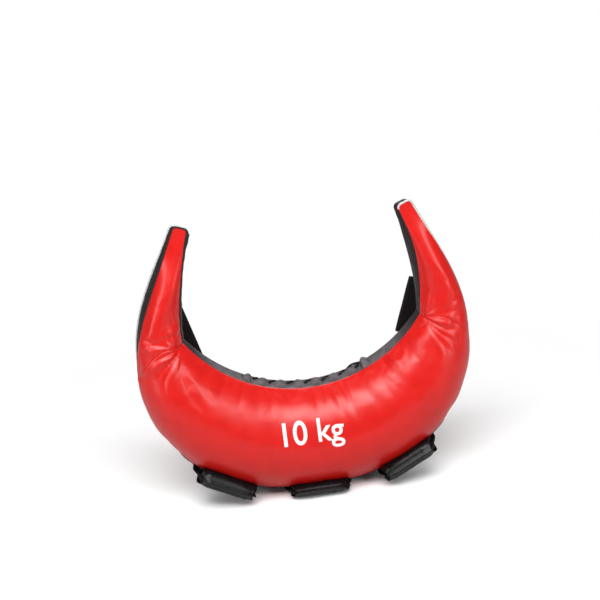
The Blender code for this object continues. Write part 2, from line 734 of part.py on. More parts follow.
def handle_frame(distance):
    """Frame of a handle: hinge line along X, Z into the bag, and half its span of the roots."""
    lift = CLEARANCE + WEBBING + CLEARANCE + WEBBING / 2
    ends = []
    for foot in (distance - ROOT_INNER, distance + ROOT_INNER):
        base, out = outer_frame(foot)
        ends.append(base + out * lift)
    along = (ends[1] - ends[0]).normalized()
    up = along.cross(SEAM_Y)
    frame = Matrix((along, SEAM_Y, up)).transposed().to_4x4()
    frame.translation = (ends[0] + ends[1]) / 2
    return frame, (ends[1] - ends[0]).length / 2


def grip_clear(points, dip, curl, thickness):
    """Whether a grip of that half thickness stays off the bag by the rest gap."""
    y, z, heading = webbing_path(HANDLE_REACH, dip, curl)
    wide = GRIP_HALF_WIDTH + REST_GAP
    thick = thickness + REST_GAP
    for point in points:
        if abs(point.x) > GRIP_LENGTH / 2:
            continue
        ahead = -(point.y - y) * math.cos(heading) + (point.z - z) * math.sin(heading)
        over = (point.y - y) * math.sin(heading) + (point.z - z) * math.cos(heading)
        if abs(ahead / wide) ** GRIP_FULLNESS + abs(over / thick) ** GRIP_FULLNESS < 1:
            return False
    return True


def lowest_of_grip(height, dip, curl, thickness):
    """Height of the underside of a grip over the floor."""
    _, z, heading = webbing_path(HANDLE_REACH, dip, curl)
    tilt = abs(heading)
    power = GRIP_FULLNESS / (GRIP_FULLNESS - 1)
    reach = (abs(GRIP_HALF_WIDTH * math.sin(tilt)) ** power
             + abs(thickness * math.cos(tilt)) ** power) ** (1 / power)
    return height + z - reach


def grip_ring(along, wide, thick, centre):
    """Section of the grip across its length; scaled by its pillow shape."""
    y, z, heading = centre
    scale = 1
    for (low, a), (high, b) in zip(PILLOW_SHARES, PILLOW_SHARES[1:]):
        if low <= along <= high:
            scale = blend(a, b, (along - low) / (high - low))
    ring = []
    for corner in range(GRIP_SIDES):
        turn = 2 * math.pi * corner / GRIP_SIDES
        power = 2 / GRIP_FULLNESS
        ahead = scale * wide * math.copysign(abs(math.cos(turn)) ** power, math.cos(turn))
        over = scale * thick * math.copysign(abs(math.sin(turn)) ** power, math.sin(turn))
        ring.append(Vector((along * GRIP_LENGTH / 2,
                            y - ahead * math.cos(heading) + over * math.sin(heading),
                            z + ahead * math.sin(heading) + over * math.cos(heading))))
    return ring


def slot_ring(along, centre):
    """Outline of the slot for the webbing, with as many points as a section of the grip."""
    y, z, heading = centre
    wide = BAR_HALF_WIDTH + CLEARANCE
    thick = WEBBING / 2 + CLEARANCE
    ring = []
    for corner in range(GRIP_SIDES):
        turn = 2 * math.pi * corner / GRIP_SIDES
        size = max(abs(math.cos(turn)), abs(math.sin(turn)))
        ahead = wide * math.cos(turn) / size
        over = thick * math.sin(turn) / size
        ring.append(Vector((along * GRIP_LENGTH / 2,
                            y - ahead * math.cos(heading) + over * math.sin(heading),
                            z + ahead * math.sin(heading) + over * math.cos(heading))))
    return ring


def hollow(name, outer_rings, inner_rings, colour):
    """A tube with a wall, from matching rings outside and inside."""
    size = len(outer_rings[0])
    outer = [point for ring in outer_rings for point in ring]
    inner = [point for ring in inner_rings for point in ring]
    points, faces = walled(outer, inner, grid(len(outer_rings), size, ring=True))
    return solid(name, points, faces, colour)


def webbing_sheet(name, dip, curl, span):
    """The U of webbing: two legs from the hinge line and the bar between them."""
    bar_start = HANDLE_REACH - BAR_HALF_WIDTH
    bar_end = HANDLE_REACH + BAR_HALF_WIDTH
    leg_inner = GRIP_LENGTH / 2 + CLEARANCE
    root_outer = span + ROOT_OUTER - ROOT_INNER
    bend = BEND_RADIUS * curl
    reaches = [0, HANDLE_FLAT, HANDLE_FLAT + bend / 2, HANDLE_FLAT + bend, bar_start]
    rows = []
    for reach in reaches:
        share = max(reach - HANDLE_FLAT, 0) / (bar_start - HANDLE_FLAT)
        low = blend(span, leg_inner, share)
        high = blend(root_outer, leg_inner + LEG_WIDTH, share)
        rows.append((reach, [-high, -low, low, high]))
    rows.append((bar_end, [-leg_inner - LEG_WIDTH / 4, -leg_inner, leg_inner, leg_inner + LEG_WIDTH / 4]))
    points = ([], [])
    for reach, places in rows:
        y, z, heading = webbing_path(reach, dip, curl)
        for x in places:
            for sheet_points, over in zip(points, (1, -1)):
                half = over * WEBBING / 2
                sheet_points.append(Vector((x, y + half * math.sin(heading), z + half * math.cos(heading))))
    sheet = []
    for row in range(len(rows) - 1):
        for column in (0, 2) if row < len(rows) - 2 else (0, 1, 2):
            a = row * 4 + column
            sheet.append((a, a + 1, a + 5))
            sheet.append((a, a + 5, a + 4))
    all_points, faces = walled(points[0], points[1], sheet)
    return solid(name, all_points, faces, "black")


front_points = sampled_face(-1)
for word, place in (("left", -1), ("centre", 0), ("right", 1)):
    frame, span = handle_frame(place * HANDLE_SPACING)
    back_to_bag = frame.inverted()
    near = [back_to_bag @ point for point in front_points]
    near = [point for point in near if abs(point.x) < GRIP_LENGTH and abs(point.y) < 2 * HANDLE_REACH]
    thickness = GRIP_HALF_THICKNESS
    curl = GRIP_CURL
    if place == 0:
        # The middle grip lies on the floor, pressed flat under the belly
        height = frame.translation.z

        def floor_curl(half):
            return bisect(0, GRIP_CURL * 2,
                          lambda bent: lowest_of_grip(height, 0, bent, half) < REST_GAP)
        thickness = bisect(GRIP_HALF_THICKNESS / 4, GRIP_HALF_THICKNESS,
                           lambda half: grip_clear(near, 0, floor_curl(half), half), FIT_STEPS)
        thickness -= GRIP_HALF_THICKNESS / 2 ** FIT_STEPS
        curl = floor_curl(thickness)
        dip = 0
    else:
        dip = bisect(-curl, math.pi / 2 - curl,
                     lambda sunk: not grip_clear(near, sunk, curl, thickness), FIT_STEPS)
    centre = webbing_path(HANDLE_REACH, dip, curl)
    hinge = bpy.data.objects.new(f"hinge_{word}", None)
    bpy.context.scene.collection.objects.link(hinge)
    hinge.matrix_world = frame
    webbing = webbing_sheet(f"handle_webbing_{word}", dip, curl, span)
    ends = [share for share, _ in PILLOW_SHARES]
    sleeve = hollow(f"grip_sleeve_{word}",
                    [grip_ring(along, GRIP_HALF_WIDTH, thickness, centre) for along in ends],
                    [grip_ring(along, GRIP_HALF_WIDTH - GRIP_SKIN, thickness - GRIP_SKIN, centre)
                     for along in ends], "sleeve")
    inset = GRIP_SKIN + CLEARANCE
    hem = 1 - 2 * GRIP_HEM / GRIP_LENGTH
    foam_ends = [-hem, ends[1], ends[2], hem]
    foam = hollow(f"grip_foam_{word}",
                  [grip_ring(along, GRIP_HALF_WIDTH - inset, thickness - inset, centre)
                   for along in foam_ends],
                  [slot_ring(along, centre) for along in foam_ends], "foam")
    for piece in (webbing, sleeve, foam):
        piece.parent = hinge


# Hand straps: a patch sewn on the back of each horn and a flattened loop hanging from it
def surface_tree(side):
    """The horn and shoulder of one face as a fine surface, right half."""
    rows = spread(SCAN_START_ROW, 2, SCAN_ROWS)
    columns = spread(0, 1, SCAN_COLUMNS)
    points = [face_point(row, q, side) for row in rows for q in columns]
    return BVHTree.FromPolygons(points, grid(len(rows), len(columns)))


back_surface = surface_tree(1)
SKY = BELLY_HALF_DEPTH * 2


def surface_y(x, z):
    """Depth of the back face at a place seen from behind, or none beside it."""
    hit = back_surface.ray_cast(Vector((x, SKY, z)), -SEAM_Y)[0]
    return hit.y if hit else None


def strap_line(up):
    """Point of the line up the horn that the strap is centred on, in the XZ plane."""
    t = 1 + HAND_STRAP_ROW_SHARE + up / (HORN_INNER_END - KINK).length
    return outer_seam(t).lerp(inner_seam(t), HAND_STRAP_ACROSS_SHARE)


STRAP_TOP = strap_line(0)
HORN_WAY = strap_line(CLEARANCE) - strap_line(-CLEARANCE)
STRAP_LEAN = math.atan2(-HORN_WAY.x, HORN_WAY.z) + HAND_STRAP_TURN
STRAP_ACROSS = Vector((math.cos(STRAP_LEAN), 0, -math.sin(STRAP_LEAN)))
STRAP_DOWN = Vector((-math.sin(STRAP_LEAN), 0, -math.cos(STRAP_LEAN)))
LOOP_HALF = WEBBING + PLY_GAP / 2


STRAP_PLACES = spread(-HAND_STRAP_HALF_WIDTH, HAND_STRAP_HALF_WIDTH, SCAN_COLUMNS)


def hinge_point():
    """Middle of the hinge line, clear of the horn along its whole length."""
    depths = []
    for across in STRAP_PLACES:
        for down in (-LOOP_HALF, 0, LOOP_HALF):
            place = STRAP_TOP + STRAP_ACROSS * across + STRAP_DOWN * down
            depths.append(surface_y(place.x, place.z) or 0)
    return STRAP_TOP + SEAM_Y * (max(depths) + CLEARANCE + LOOP_HALF)


STRAP_HINGE = hinge_point()


def strap_tilt():
    """Swing of the hanging loop out from the horn, to where it leans on the bag."""
    leaning = []
    for across in STRAP_PLACES:
        for down in spread(LOOP_HALF, HAND_STRAP_DROP, SCAN_COLUMNS):
            place = STRAP_HINGE + STRAP_ACROSS * across + STRAP_DOWN * down
            depth = surface_y(place.x, place.z)
            if depth is not None:
                leaning.append((down, depth + REST_GAP - STRAP_HINGE.y))

    def touches(tilt):
        for down, depth in leaning:
            near = down * math.tan(tilt) - LOOP_HALF / math.cos(tilt)
            if near < depth:
                return True
        return False
    return bisect(-math.pi / 6, math.pi / 3, touches)


LOOP_TILT = strap_tilt()


def stadium(half, length):
    """Outline (down, over) of a flattened loop, round at both ends."""
    points = []
    for step in range(FOLD_STEPS + 1):
        turn = math.pi * step / FOLD_STEPS
        points.append((-half * math.sin(turn), half * math.cos(turn)))
    for step in range(FOLD_STEPS + 1):
        turn = math.pi * step / FOLD_STEPS
        points.append((length + half * math.sin(turn), -half * math.cos(turn)))
    return points


def patch_edge(up, way):
    """How far the sewn patch reaches to one side at a height above the hinge line."""
    def on_horn(across):
        place = strap_line(up) + STRAP_ACROSS * (way * (across + 2 * SEAM_ALLOWANCE))
        return surface_y(place.x, place.z) is not None
    if on_horn(HAND_STRAP_HALF_WIDTH):
        return HAND_STRAP_HALF_WIDTH
    return max(bisect(0, HAND_STRAP_HALF_WIDTH, on_horn) - CLEARANCE, CLEARANCE)


def patch_row(up, sign):
    """Points across the sewn patch, a height above the hinge line."""
    row = []
    for over in spread(-patch_edge(up, -1), patch_edge(up, 1), PATCH_COLUMNS):
        place = strap_line(up) + STRAP_ACROSS * over
        point, normal = back_surface.ray_cast(Vector((place.x, SKY, place.z)), -SEAM_Y)[:2]
        normal = normal if normal.y > 0 else -normal
        row.append((mirrored(point + normal * (2 * CLEARANCE + WEBBING), sign),
                    mirrored(point + normal * (2 * CLEARANCE), sign)))
    return row


for hand, sign in (("left", -1), ("right", 1)):
    hinge = bpy.data.objects.new(f"strap_hinge_{hand}", None)
    bpy.context.scene.collection.objects.link(hinge)
    across = mirrored(STRAP_ACROSS, sign) * sign
    down = mirrored(STRAP_DOWN, sign)
    frame = Matrix((across, SEAM_Y, -down)).transposed().to_4x4()
    frame.translation = mirrored(STRAP_HINGE, sign)
    hinge.matrix_world = frame @ Matrix.Rotation(LOOP_TILT, 4, "X")
    straight = HAND_STRAP_DROP - LOOP_HALF
    rings = []
    for outline in (stadium(LOOP_HALF, straight), stadium(PLY_GAP / 2, straight)):
        rings.append([[Vector((x, over, -along)) for along, over in outline]
                      for x in (-HAND_STRAP_HALF_WIDTH, HAND_STRAP_HALF_WIDTH)])
    loop = hollow(f"hand_strap_loop_{hand}", rings[0], rings[1], "black")
    loop.parent = hinge
    patch = [patch_row(up, sign) for up in spread(LOOP_HALF + CLEARANCE, HAND_STRAP_PATCH, PATCH_ROWS)]
    cloth(f"hand_strap_patch_{hand}", patch, "black")
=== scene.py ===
"""The looks of a stuffed, crescent-shaped training bag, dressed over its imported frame.

Metres, +Z up, front face toward -Y. The bag stands on the webbing under its belly.
"""
import math

import bmesh
import bpy
from mathutils import Matrix, Vector, noise
from mathutils.bvhtree import BVHTree


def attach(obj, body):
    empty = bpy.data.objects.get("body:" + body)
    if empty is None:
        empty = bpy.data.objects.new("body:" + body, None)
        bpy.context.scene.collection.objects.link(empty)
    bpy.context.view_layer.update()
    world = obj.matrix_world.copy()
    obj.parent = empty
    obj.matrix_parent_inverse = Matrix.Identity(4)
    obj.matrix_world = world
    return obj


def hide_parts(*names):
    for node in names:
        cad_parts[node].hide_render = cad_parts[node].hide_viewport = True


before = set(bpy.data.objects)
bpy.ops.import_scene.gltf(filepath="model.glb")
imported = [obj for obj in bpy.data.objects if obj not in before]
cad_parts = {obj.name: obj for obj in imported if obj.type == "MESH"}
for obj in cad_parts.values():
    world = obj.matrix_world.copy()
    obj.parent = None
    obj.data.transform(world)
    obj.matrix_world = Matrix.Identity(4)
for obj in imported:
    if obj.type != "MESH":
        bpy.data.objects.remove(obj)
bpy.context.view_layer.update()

scene = bpy.context.scene
scene.view_settings.view_transform = "Standard"


# Camera. The photograph is taken from about 18 degrees above and a little to the left, with
# the bag leaning in the picture: here the bag stands straight, and the camera is tilted.
CAMERA_PLACE = Vector((-0.12404, -1.42895, 0.7851))
CAMERA_YAW = math.radians(5.0)
CAMERA_DROP = math.radians(18.0)
CAMERA_ROLL = math.radians(-5.44)
CAMERA_LENS = 56.4
CAMERA_SENSOR = 36.0

ahead = Vector((math.sin(CAMERA_YAW) * math.cos(CAMERA_DROP),
                math.cos(CAMERA_YAW) * math.cos(CAMERA_DROP), -math.sin(CAMERA_DROP)))
level = Vector((math.cos(CAMERA_YAW), -math.sin(CAMERA_YAW), 0))
above = level.cross(ahead)
across = level * math.cos(CAMERA_ROLL) + above * math.sin(CAMERA_ROLL)
upright = above * math.cos(CAMERA_ROLL) - level * math.sin(CAMERA_ROLL)
camera_data = bpy.data.cameras.new("camera")
camera_data.lens = CAMERA_LENS
camera_data.sensor_width = CAMERA_SENSOR
camera = bpy.data.objects.new("camera", camera_data)
scene.collection.objects.link(camera)
camera.matrix_world = (Matrix.Translation(CAMERA_PLACE)
                       @ Matrix((across, upright, -ahead)).transposed().to_4x4())
scene.camera = camera


# Studio. A wide pale floor that keeps the bag's shadow near it and turns plain white further
# off, soft boxes above and beside the bag, and a low white light all round.
FLOOR_HALF = 20.0
FLOOR_SEEN = (0.93, 0.93, 0.93, 1)
FLOOR_BOUNCE = (0.55, 0.55, 0.55, 1)
FLOOR_FADE_START = 0.32
FLOOR_FADE_END = 0.95
FLOOR_ROUGHNESS = 0.9
FLOOR_GLOSS = 0.1
LAMPS = {
    "overhead": ((-0.15, -1.00, 1.80), (1.8, 0.9), 43.0),
    "left_fill": ((-2.1, -1.1, 1.0), (0.6, 1.6), 17.0),
    "right_fill": ((1.7, -1.7, 1.2), (0.45, 1.6), 20.0),
    "back_fill": ((0.3, 2.2, 1.7), (1.8, 1.0), 24.0),
}
LAMP_AIM = Vector((0, 0, 0.2))
WORLD_STRENGTH = 0.19


def node(tree, kind, *ports, **values):
    """Add a node: ports fill its sockets in order, and capital names fill them by name."""
    made = tree.nodes.new(kind)
    for name, value in values.items():
        if name[0].islower():
            setattr(made, name, value)
    fills = [(made.inputs[place], value) for place, value in enumerate(ports)]
    for name, value in values.items():
        if name[0].isupper():
            fills.append((made.inputs[name.replace("_", " ")], value))
    for socket, value in fills:
        if isinstance(value, bpy.types.NodeSocket):
            tree.links.new(value, socket)
        elif value is not None:
            socket.default_value = value
    return made


def maths(tree, operation, *ports):
    return node(tree, "ShaderNodeMath", *ports, operation=operation).outputs[0]


def object_place(tree):
    return node(tree, "ShaderNodeTexCoord").outputs["Object"]


bpy.ops.object.select_all(action="DESELECT")
bpy.ops.mesh.primitive_plane_add(size=2 * FLOOR_HALF)
floor = bpy.context.object
floor.name = "studio_floor"
paint = bpy.data.materials.new("studio_floor")
paint.use_nodes = True
tree = paint.node_tree
board = tree.nodes["Principled BSDF"]
board.inputs["Roughness"].default_value = FLOOR_ROUGHNESS
board.inputs["Specular IOR Level"].default_value = FLOOR_GLOSS
far = node(tree, "ShaderNodeVectorMath", object_place(tree), operation="LENGTH").outputs["Value"]
fade = node(tree, "ShaderNodeMapRange", far, FLOOR_FADE_START, FLOOR_FADE_END,
            interpolation_type="SMOOTHSTEP").outputs[0]
path = node(tree, "ShaderNodeLightPath")
pale = node(tree, "ShaderNodeMix", path.outputs["Is Camera Ray"], data_type="RGBA")
pale.inputs[6].default_value = FLOOR_BOUNCE
pale.inputs[7].default_value = FLOOR_SEEN
tree.links.new(pale.outputs[2], board.inputs["Base Color"])
share = maths(tree, "MULTIPLY", fade, path.outputs["Is Camera Ray"])
white = node(tree, "ShaderNodeEmission", (1, 1, 1, 1), 1.0).outputs[0]
mixed = node(tree, "ShaderNodeMixShader", share, board.outputs[0], white)
tree.links.new(mixed.outputs[0], tree.nodes["Material Output"].inputs["Surface"])
floor.data.materials.append(paint)

for name, (spot, size, power) in LAMPS.items():
    lamp_data = bpy.data.lights.new(name, "AREA")
    lamp_data.shape = "RECTANGLE"
    lamp_data.size, lamp_data.size_y = size
    lamp_data.energy = power
    lamp = bpy.data.objects.new(name, lamp_data)
    scene.collection.objects.link(lamp)
    lamp.location = spot
    lamp.rotation_euler = (LAMP_AIM - Vector(spot)).to_track_quat("-Z", "Y").to_euler()

world = bpy.data.worlds.new("studio")
world.use_nodes = True
scene.world = world
tree = world.node_tree
soft = tree.nodes["Background"]
soft.inputs["Color"].default_value = (1, 1, 1, 1)
soft.inputs["Strength"].default_value = WORLD_STRENGTH
bright = node(tree, "ShaderNodeBackground", (1, 1, 1, 1), 1.0)
path = node(tree, "ShaderNodeLightPath")
mixed = node(tree, "ShaderNodeMixShader", path.outputs["Is Camera Ray"], soft.outputs[0],
             bright.outputs[0])
tree.links.new(mixed.outputs[0], tree.nodes["World Output"].inputs["Surface"])


# Cover. Two crescent faces of red coated cloth are sewn to a grey gusset strip and stuffed hard.
# The sewn lines and the depth are those of the frame's solids. The gusset is narrower.
HALF_WIDTH = 0.2695
WIDEST_RISE = 0.225
OUTER_FULLNESS = 2.1
CONTACT_HALF_LENGTH = 0.012
SEAM_LOW = 0.0025
BELLY_HEIGHT = 0.1705
INNER_RADIUS = 0.2335
INNER_SWEEP = math.radians(55.8)
HORN_RISE = 0.2365
TIP_OUTER_X = 0.186
TIP_WIDTH = 0.0232
TIP_TILT = math.radians(21.5)
TIP_CORNER = 0.0065
HORN_BOW = 0.00985
HORN_SHOULDER = 0.078
HORN_TAPER = 0.119
HORN_LEAN = math.radians(25.5)
HALF_DEPTHS = (0.080, 0.048, 0.0155)         # at the middle, the necks and the horn ends
HALF_GUSSETS = (0.0168, 0.0120, 0.0050)      # at the same places
LATE_SHARE = 4                               # power that keeps the belly full towards the necks
TIP_ROUNDING = 0.085
OUTER_BULGES = (0.0, 0.0015, 0.0012)         # belly, horns, horn ends
INNER_BULGES = {-1: (0.001, 0.0045, 0.0062), 1: (0.001, 0.0020, 0.0022)}
HORN_TURN = 0.0048                           # shift of the horns' fronts to +X and backs to -X
HORN_TURN_START = 0.95
HORN_TURN_RUN = 0.7
END_TURN_LOST = 0.55
END_TURN_START = 1.7
NECK_SEAM_BOW_SHARE = 0.095
LACING_HALF_LENGTH = 0.110
LACING_ROWS = 13                             # over half the lacing, the first one on the flat
STEP = 1e-4
SEAM_Y = Vector((0, 1, 0))

INNER_ARC = INNER_RADIUS * INNER_SWEEP
LACING_END = LACING_HALF_LENGTH / INNER_ARC
FLAT_SHARE = LACING_END / LACING_ROWS
INNER_LOW = SEAM_LOW + BELLY_HEIGHT
TIP_ALONG = Vector((math.cos(TIP_TILT), 0, math.sin(TIP_TILT)))
TIP_UP = Vector((-math.sin(TIP_TILT), 0, math.cos(TIP_TILT)))
TIP_OUTER = Vector((TIP_OUTER_X, 0, SEAM_LOW + WIDEST_RISE + HORN_RISE))
TIP_INNER = TIP_OUTER - TIP_ALONG * TIP_WIDTH
OUTER_END = TIP_OUTER - TIP_UP * TIP_CORNER
INNER_END = TIP_INNER - TIP_UP * TIP_CORNER
WIDEST = Vector((HALF_WIDTH, 0, SEAM_LOW + WIDEST_RISE))
SHOULDER_POLE = WIDEST + Vector((0, 0, HORN_SHOULDER))
TAPER_POLE = OUTER_END + HORN_TAPER * Vector((math.sin(HORN_LEAN), 0, -math.cos(HORN_LEAN)))
KINK = Vector((INNER_RADIUS * math.sin(INNER_SWEEP), 0,
               INNER_LOW + INNER_RADIUS * (1 - math.cos(INNER_SWEEP))))
HORN_LINE = INNER_END - KINK
BOW_WAY = Vector((HORN_LINE.z, 0, -HORN_LINE.x)).normalized()
BOW_POLE = (KINK + INNER_END) / 2 + BOW_WAY * 2 * HORN_BOW


def blend(a, b, share):
    return a + (b - a) * share


def smooth(share):
    share = min(max(share, 0.0), 1.0)
    return share * share * (3.0 - 2.0 * share)


def rise(value, start, run):
    """A smooth rise from 0 at a start to 1 after a run."""
    return smooth((value - start) / run)


def spread(low, high, count):
    return [blend(low, high, step / count) for step in range(count + 1)]


def inner_seam(t):
    """Inner seam line, right half: t is 0 in the middle, 1 at the neck and 2 at the horn's end."""
    if t <= 1:
        turn = t * INNER_SWEEP
        return Vector((INNER_RADIUS * math.sin(turn), 0,
                       INNER_LOW + INNER_RADIUS * (1 - math.cos(turn))))
    s = t - 1
    return KINK * (1 - s) ** 2 + BOW_POLE * (2 * s * (1 - s)) + INNER_END * s ** 2


def outer_seam(t):
    """Outer seam line, right half."""
    if t <= FLAT_SHARE:
        return Vector((CONTACT_HALF_LENGTH * t / FLAT_SHARE, 0, SEAM_LOW))
    if t <= 1:
        turn = math.pi / 2 * (t - FLAT_SHARE) / (1 - FLAT_SHARE)
        out = math.sin(turn) ** (2 / OUTER_FULLNESS)
        drop = max(math.cos(turn), 0.0) ** (2 / OUTER_FULLNESS)
        return Vector((blend(CONTACT_HALF_LENGTH, HALF_WIDTH, out), 0,
                       SEAM_LOW + WIDEST_RISE * (1 - drop)))
    s = t - 1
    return (WIDEST * (1 - s) ** 3 + SHOULDER_POLE * (3 * s * (1 - s) ** 2)
            + TAPER_POLE * (3 * s ** 2 * (1 - s)) + OUTER_END * s ** 3)


def half_depth(t):
    if t <= 1:
        return blend(HALF_DEPTHS[0], HALF_DEPTHS[1], t ** LATE_SHARE)
    return blend(HALF_DEPTHS[1], HALF_DEPTHS[2], t - 1)


def half_gusset(t):
    if t <= 1:
        return blend(HALF_GUSSETS[0], HALF_GUSSETS[1], t ** LATE_SHARE)
    return blend(HALF_GUSSETS[1], HALF_GUSSETS[2], (t - 1) ** 2)


def station(row, q):
    """Place along the bag of a row, at share q from the outer seam (0) to the inner seam (1)."""
    lift = NECK_SEAM_BOW_SHARE * (4 * q * (1 - q)) ** 2
    if row <= 1:
        return row * (1 + lift)
    return blend(1 + lift, 2, row - 1)


def mirrored(point, sign):
    return Vector((sign * point.x, point.y, point.z))


def horn_end_turn(t):
    """Share of the horns' turn that is left at a station, as it dies away at the ends."""
    return 1 - END_TURN_LOST * rise(t, END_TURN_START, 2 - END_TURN_START)


def turned(point, t):
    """Shift a point as the stuffed horns turn: front to +X, back to -X."""
    side = min(max(point.y / half_gusset(t), -1), 1)
    shift = HORN_TURN * side * rise(t, HORN_TURN_START, HORN_TURN_RUN) * horn_end_turn(t)
    return point - Vector((shift, 0, 0))


def smooth_face(row, q, side):
    """Stuffed form of the front (side -1) or back (side 1) face, without its folds."""
    sign = -1 if row < 0 else 1
    t = min(station(min(abs(row), 2), q), 2)
    inner = inner_seam(t)
    outer = outer_seam(t)
    half = (outer - inner).length / 2
    aside = (outer - inner).normalized()
    depth = half_depth(t)
    gusset = half_gusset(t)
    low = math.asin(gusset / depth)
    turn = blend(low, math.pi - low, q)
    full = smooth((INNER_END - inner).length / TIP_ROUNDING) if t > 1 else 1.0
    x = blend(half * (1 - 2 * q), half / math.cos(low) * math.cos(turn), full)
    y = blend(gusset, depth * math.sin(turn), full)
    point = (inner + outer) / 2 + aside * x
    return turned(mirrored(Vector((point.x, side * y, point.z)), sign), t)


def face_normal(row, q, side):
    q = min(max(q, STEP), 1 - STEP)
    along = smooth_face(row + STEP, q, side) - smooth_face(row - STEP, q, side)
    aside = smooth_face(row, q + STEP, side) - smooth_face(row, q - STEP, side)
    normal = along.cross(aside).normalized()
    return normal if normal.y * side > 0 else -normal


def strip_frame(row, edge):
    """Seam point, outward direction, half width and bulge of the gusset, outer edge 1, inner -1."""
    line = outer_seam if edge > 0 else inner_seam
    t = min(station(abs(row), 0 if edge > 0 else 1), 2)
    gap = line(min(t + STEP, 2)) - line(max(t - STEP, 0))
    sign = -1 if row < 0 else 1
    out = mirrored(Vector((gap.z, 0, -gap.x)).normalized() * edge, sign)
    bulges = OUTER_BULGES if edge > 0 else INNER_BULGES[sign]
    crown = blend(bulges[0], bulges[1], smooth((abs(row) - 1) * 3))
    bulge = blend(crown, bulges[2], max(abs(row) - 1, 0) ** 2)
    return mirrored(line(t), sign), out, half_gusset(t), bulge, t


def tip_frames(sign, steps):
    """The same round the end of a horn, from its outer to its inner side."""
    frames = []
    for corner, start in ((TIP_OUTER - TIP_ALONG * TIP_CORNER, 0),
                          (TIP_INNER + TIP_ALONG * TIP_CORNER, 90)):
        for step in range(steps + 1):
            turn = math.radians(start + 90 * step / steps)
            out = TIP_ALONG * math.cos(turn) + TIP_UP * math.sin(turn)
            point = corner - TIP_UP * TIP_CORNER + out * TIP_CORNER
            bulge = blend(OUTER_BULGES[2], INNER_BULGES[sign][2], smooth(turn / math.pi * 2 - 1))
            frames.append((mirrored(point, sign), mirrored(out, sign), HALF_GUSSETS[2], bulge, 2))
    return frames


def strip_point(strip, share):
    """Point across the gusset, share -1 at the front seam and 1 at the back seam."""
    point, out, half, bulge, t = strip
    return turned(point + out * (bulge * (1 - share ** 2)) + SEAM_Y * (share * half), t)


# Folds. The cloth is cut flat and sewn to a curve, so it puckers along the inner seam and
# creases out from the necks, where the horns bend away from the belly. Widths and heights are
# in metres, and shares are of the face's width, from its inner seam.
PUCKER_HEIGHT = 0.0048
PUCKER_WIDTH = 0.024
PUCKER_LEVEL = 0.42                          # of a billow, that is level with the smooth form
PUCKER_WANDER = 0.006
PUCKER_WANDER_WIDTH = 0.05
PUCKER_START_SHARE = 0.05
PUCKER_FADE_SHARE = 0.10
PUCKER_LONG = 0.34
PUCKER_LONG_CHANGE = 0.20
PUCKER_LONG_WIDTH = 0.022
PUCKER_DRAW_WIDTH = 0.06
PUCKER_LEFT_SHARE = 0.40                     # of their height, that is left on the front's left
PUCKER_LEFT_EDGE = -0.04
PUCKER_RIGHT_RUN = 0.10
PUCKER_BACK_SHARE = 0.5
PUCKER_LAST_ROW = 0.86
PUCKER_END_RUN = 0.18
NECK_HEIGHT = 0.0051
NECK_SPREAD = math.radians(19)
NECK_LEVEL = 0.40
NECK_NEAR = 0.022
NECK_FADE = 0.035
NECK_FAR = 0.080
NECK_AIM = -0.42                             # middle of the fan of creases, in radians
NECK_FAN = 0.55
NECK_FAN_EDGE = 0.45
NECK_CALM = 0.25                             # share of a crease that is left at the cross seam
NECK_CALM_START = 0.002
NECK_CALM_RUN = 0.010
NECK_WAVER = 0.08
NECK_WAVER_LENGTH = 0.03
NECK_CREASE_LENGTH = 0.16
HORN_HEIGHT = 0.0007
HORN_WIDTH = 0.009
HORN_PATCH = 0.04
HORN_FOOT_RUN = 0.03
HORN_LAST_ROW = 1.60
HORN_END_RUN = 0.32
NECK_RIPPLE = 2.4                            # how much stronger the ripples are near the neck
NECK_RIPPLE_START = 0.012
NECK_RIPPLE_RUN = 0.030
LUMP_HEIGHT = 0.0016
LUMP_WIDTH = 0.055
FINE_LUMP_SHARE = 0.22
FINE_LUMP_WIDTH = 0.021
LUMP_EDGE_SHARE = 0.06
LUMP_LAST_ROW = 1.85
LUMP_END_RUN = 0.14
HORN_LUMPS_LOST = 0.9
HORN_LUMPS_RUN = 0.25
PULL_PLACE = Vector((0.236, 0, 0.104))       # where the end of the webbing draws the cover in
PULL_REACH = 0.017
PULL_DEPTH = 0.0042
FOLD_DEEPEST = -0.0022
FOLD_HIGHEST = 0.0060
SIDE_SEED = 7.3
HAND_SEEDS = {-1: 11.9, 1: 3.7}


def wavy(x, y, z):
    """Smooth noise about 0."""
    return noise.noise(Vector((x, y, z)))


def billow(x, y, z):
    """Rounded swellings between sharp valleys, 0 in the valleys."""
    return 2 * abs(wavy(x, y, z))


def seam_puckers(point, row, q, side):
    """Puckers that run out from the inner seam, deeper on the front's right than its left."""
    along = row * INNER_ARC
    seed = SIDE_SEED * side
    wander = PUCKER_WANDER * wavy(along / PUCKER_WANDER_WIDTH, q * 2, seed)
    long = PUCKER_LONG + PUCKER_LONG_CHANGE * wavy(along / PUCKER_LONG_WIDTH, 4.1, seed)
    puckered = rise(1 - q, 0, PUCKER_START_SHARE) * (1 - rise(1 - q, PUCKER_FADE_SHARE, long))
    right = rise(point.x, PUCKER_LEFT_EDGE, PUCKER_RIGHT_RUN)
    drawn = blend(PUCKER_LEFT_SHARE, 1, right) if side < 0 else PUCKER_BACK_SHARE
    drawn *= 0.7 + 0.6 * wavy(along / PUCKER_DRAW_WIDTH, 8.8, seed)
    drawn *= 1 - rise(abs(row), PUCKER_LAST_ROW, PUCKER_END_RUN)
    pucker = billow((along + wander) / PUCKER_WIDTH, q * 1.1, seed) - PUCKER_LEVEL
    return PUCKER_HEIGHT * pucker * puckered * drawn


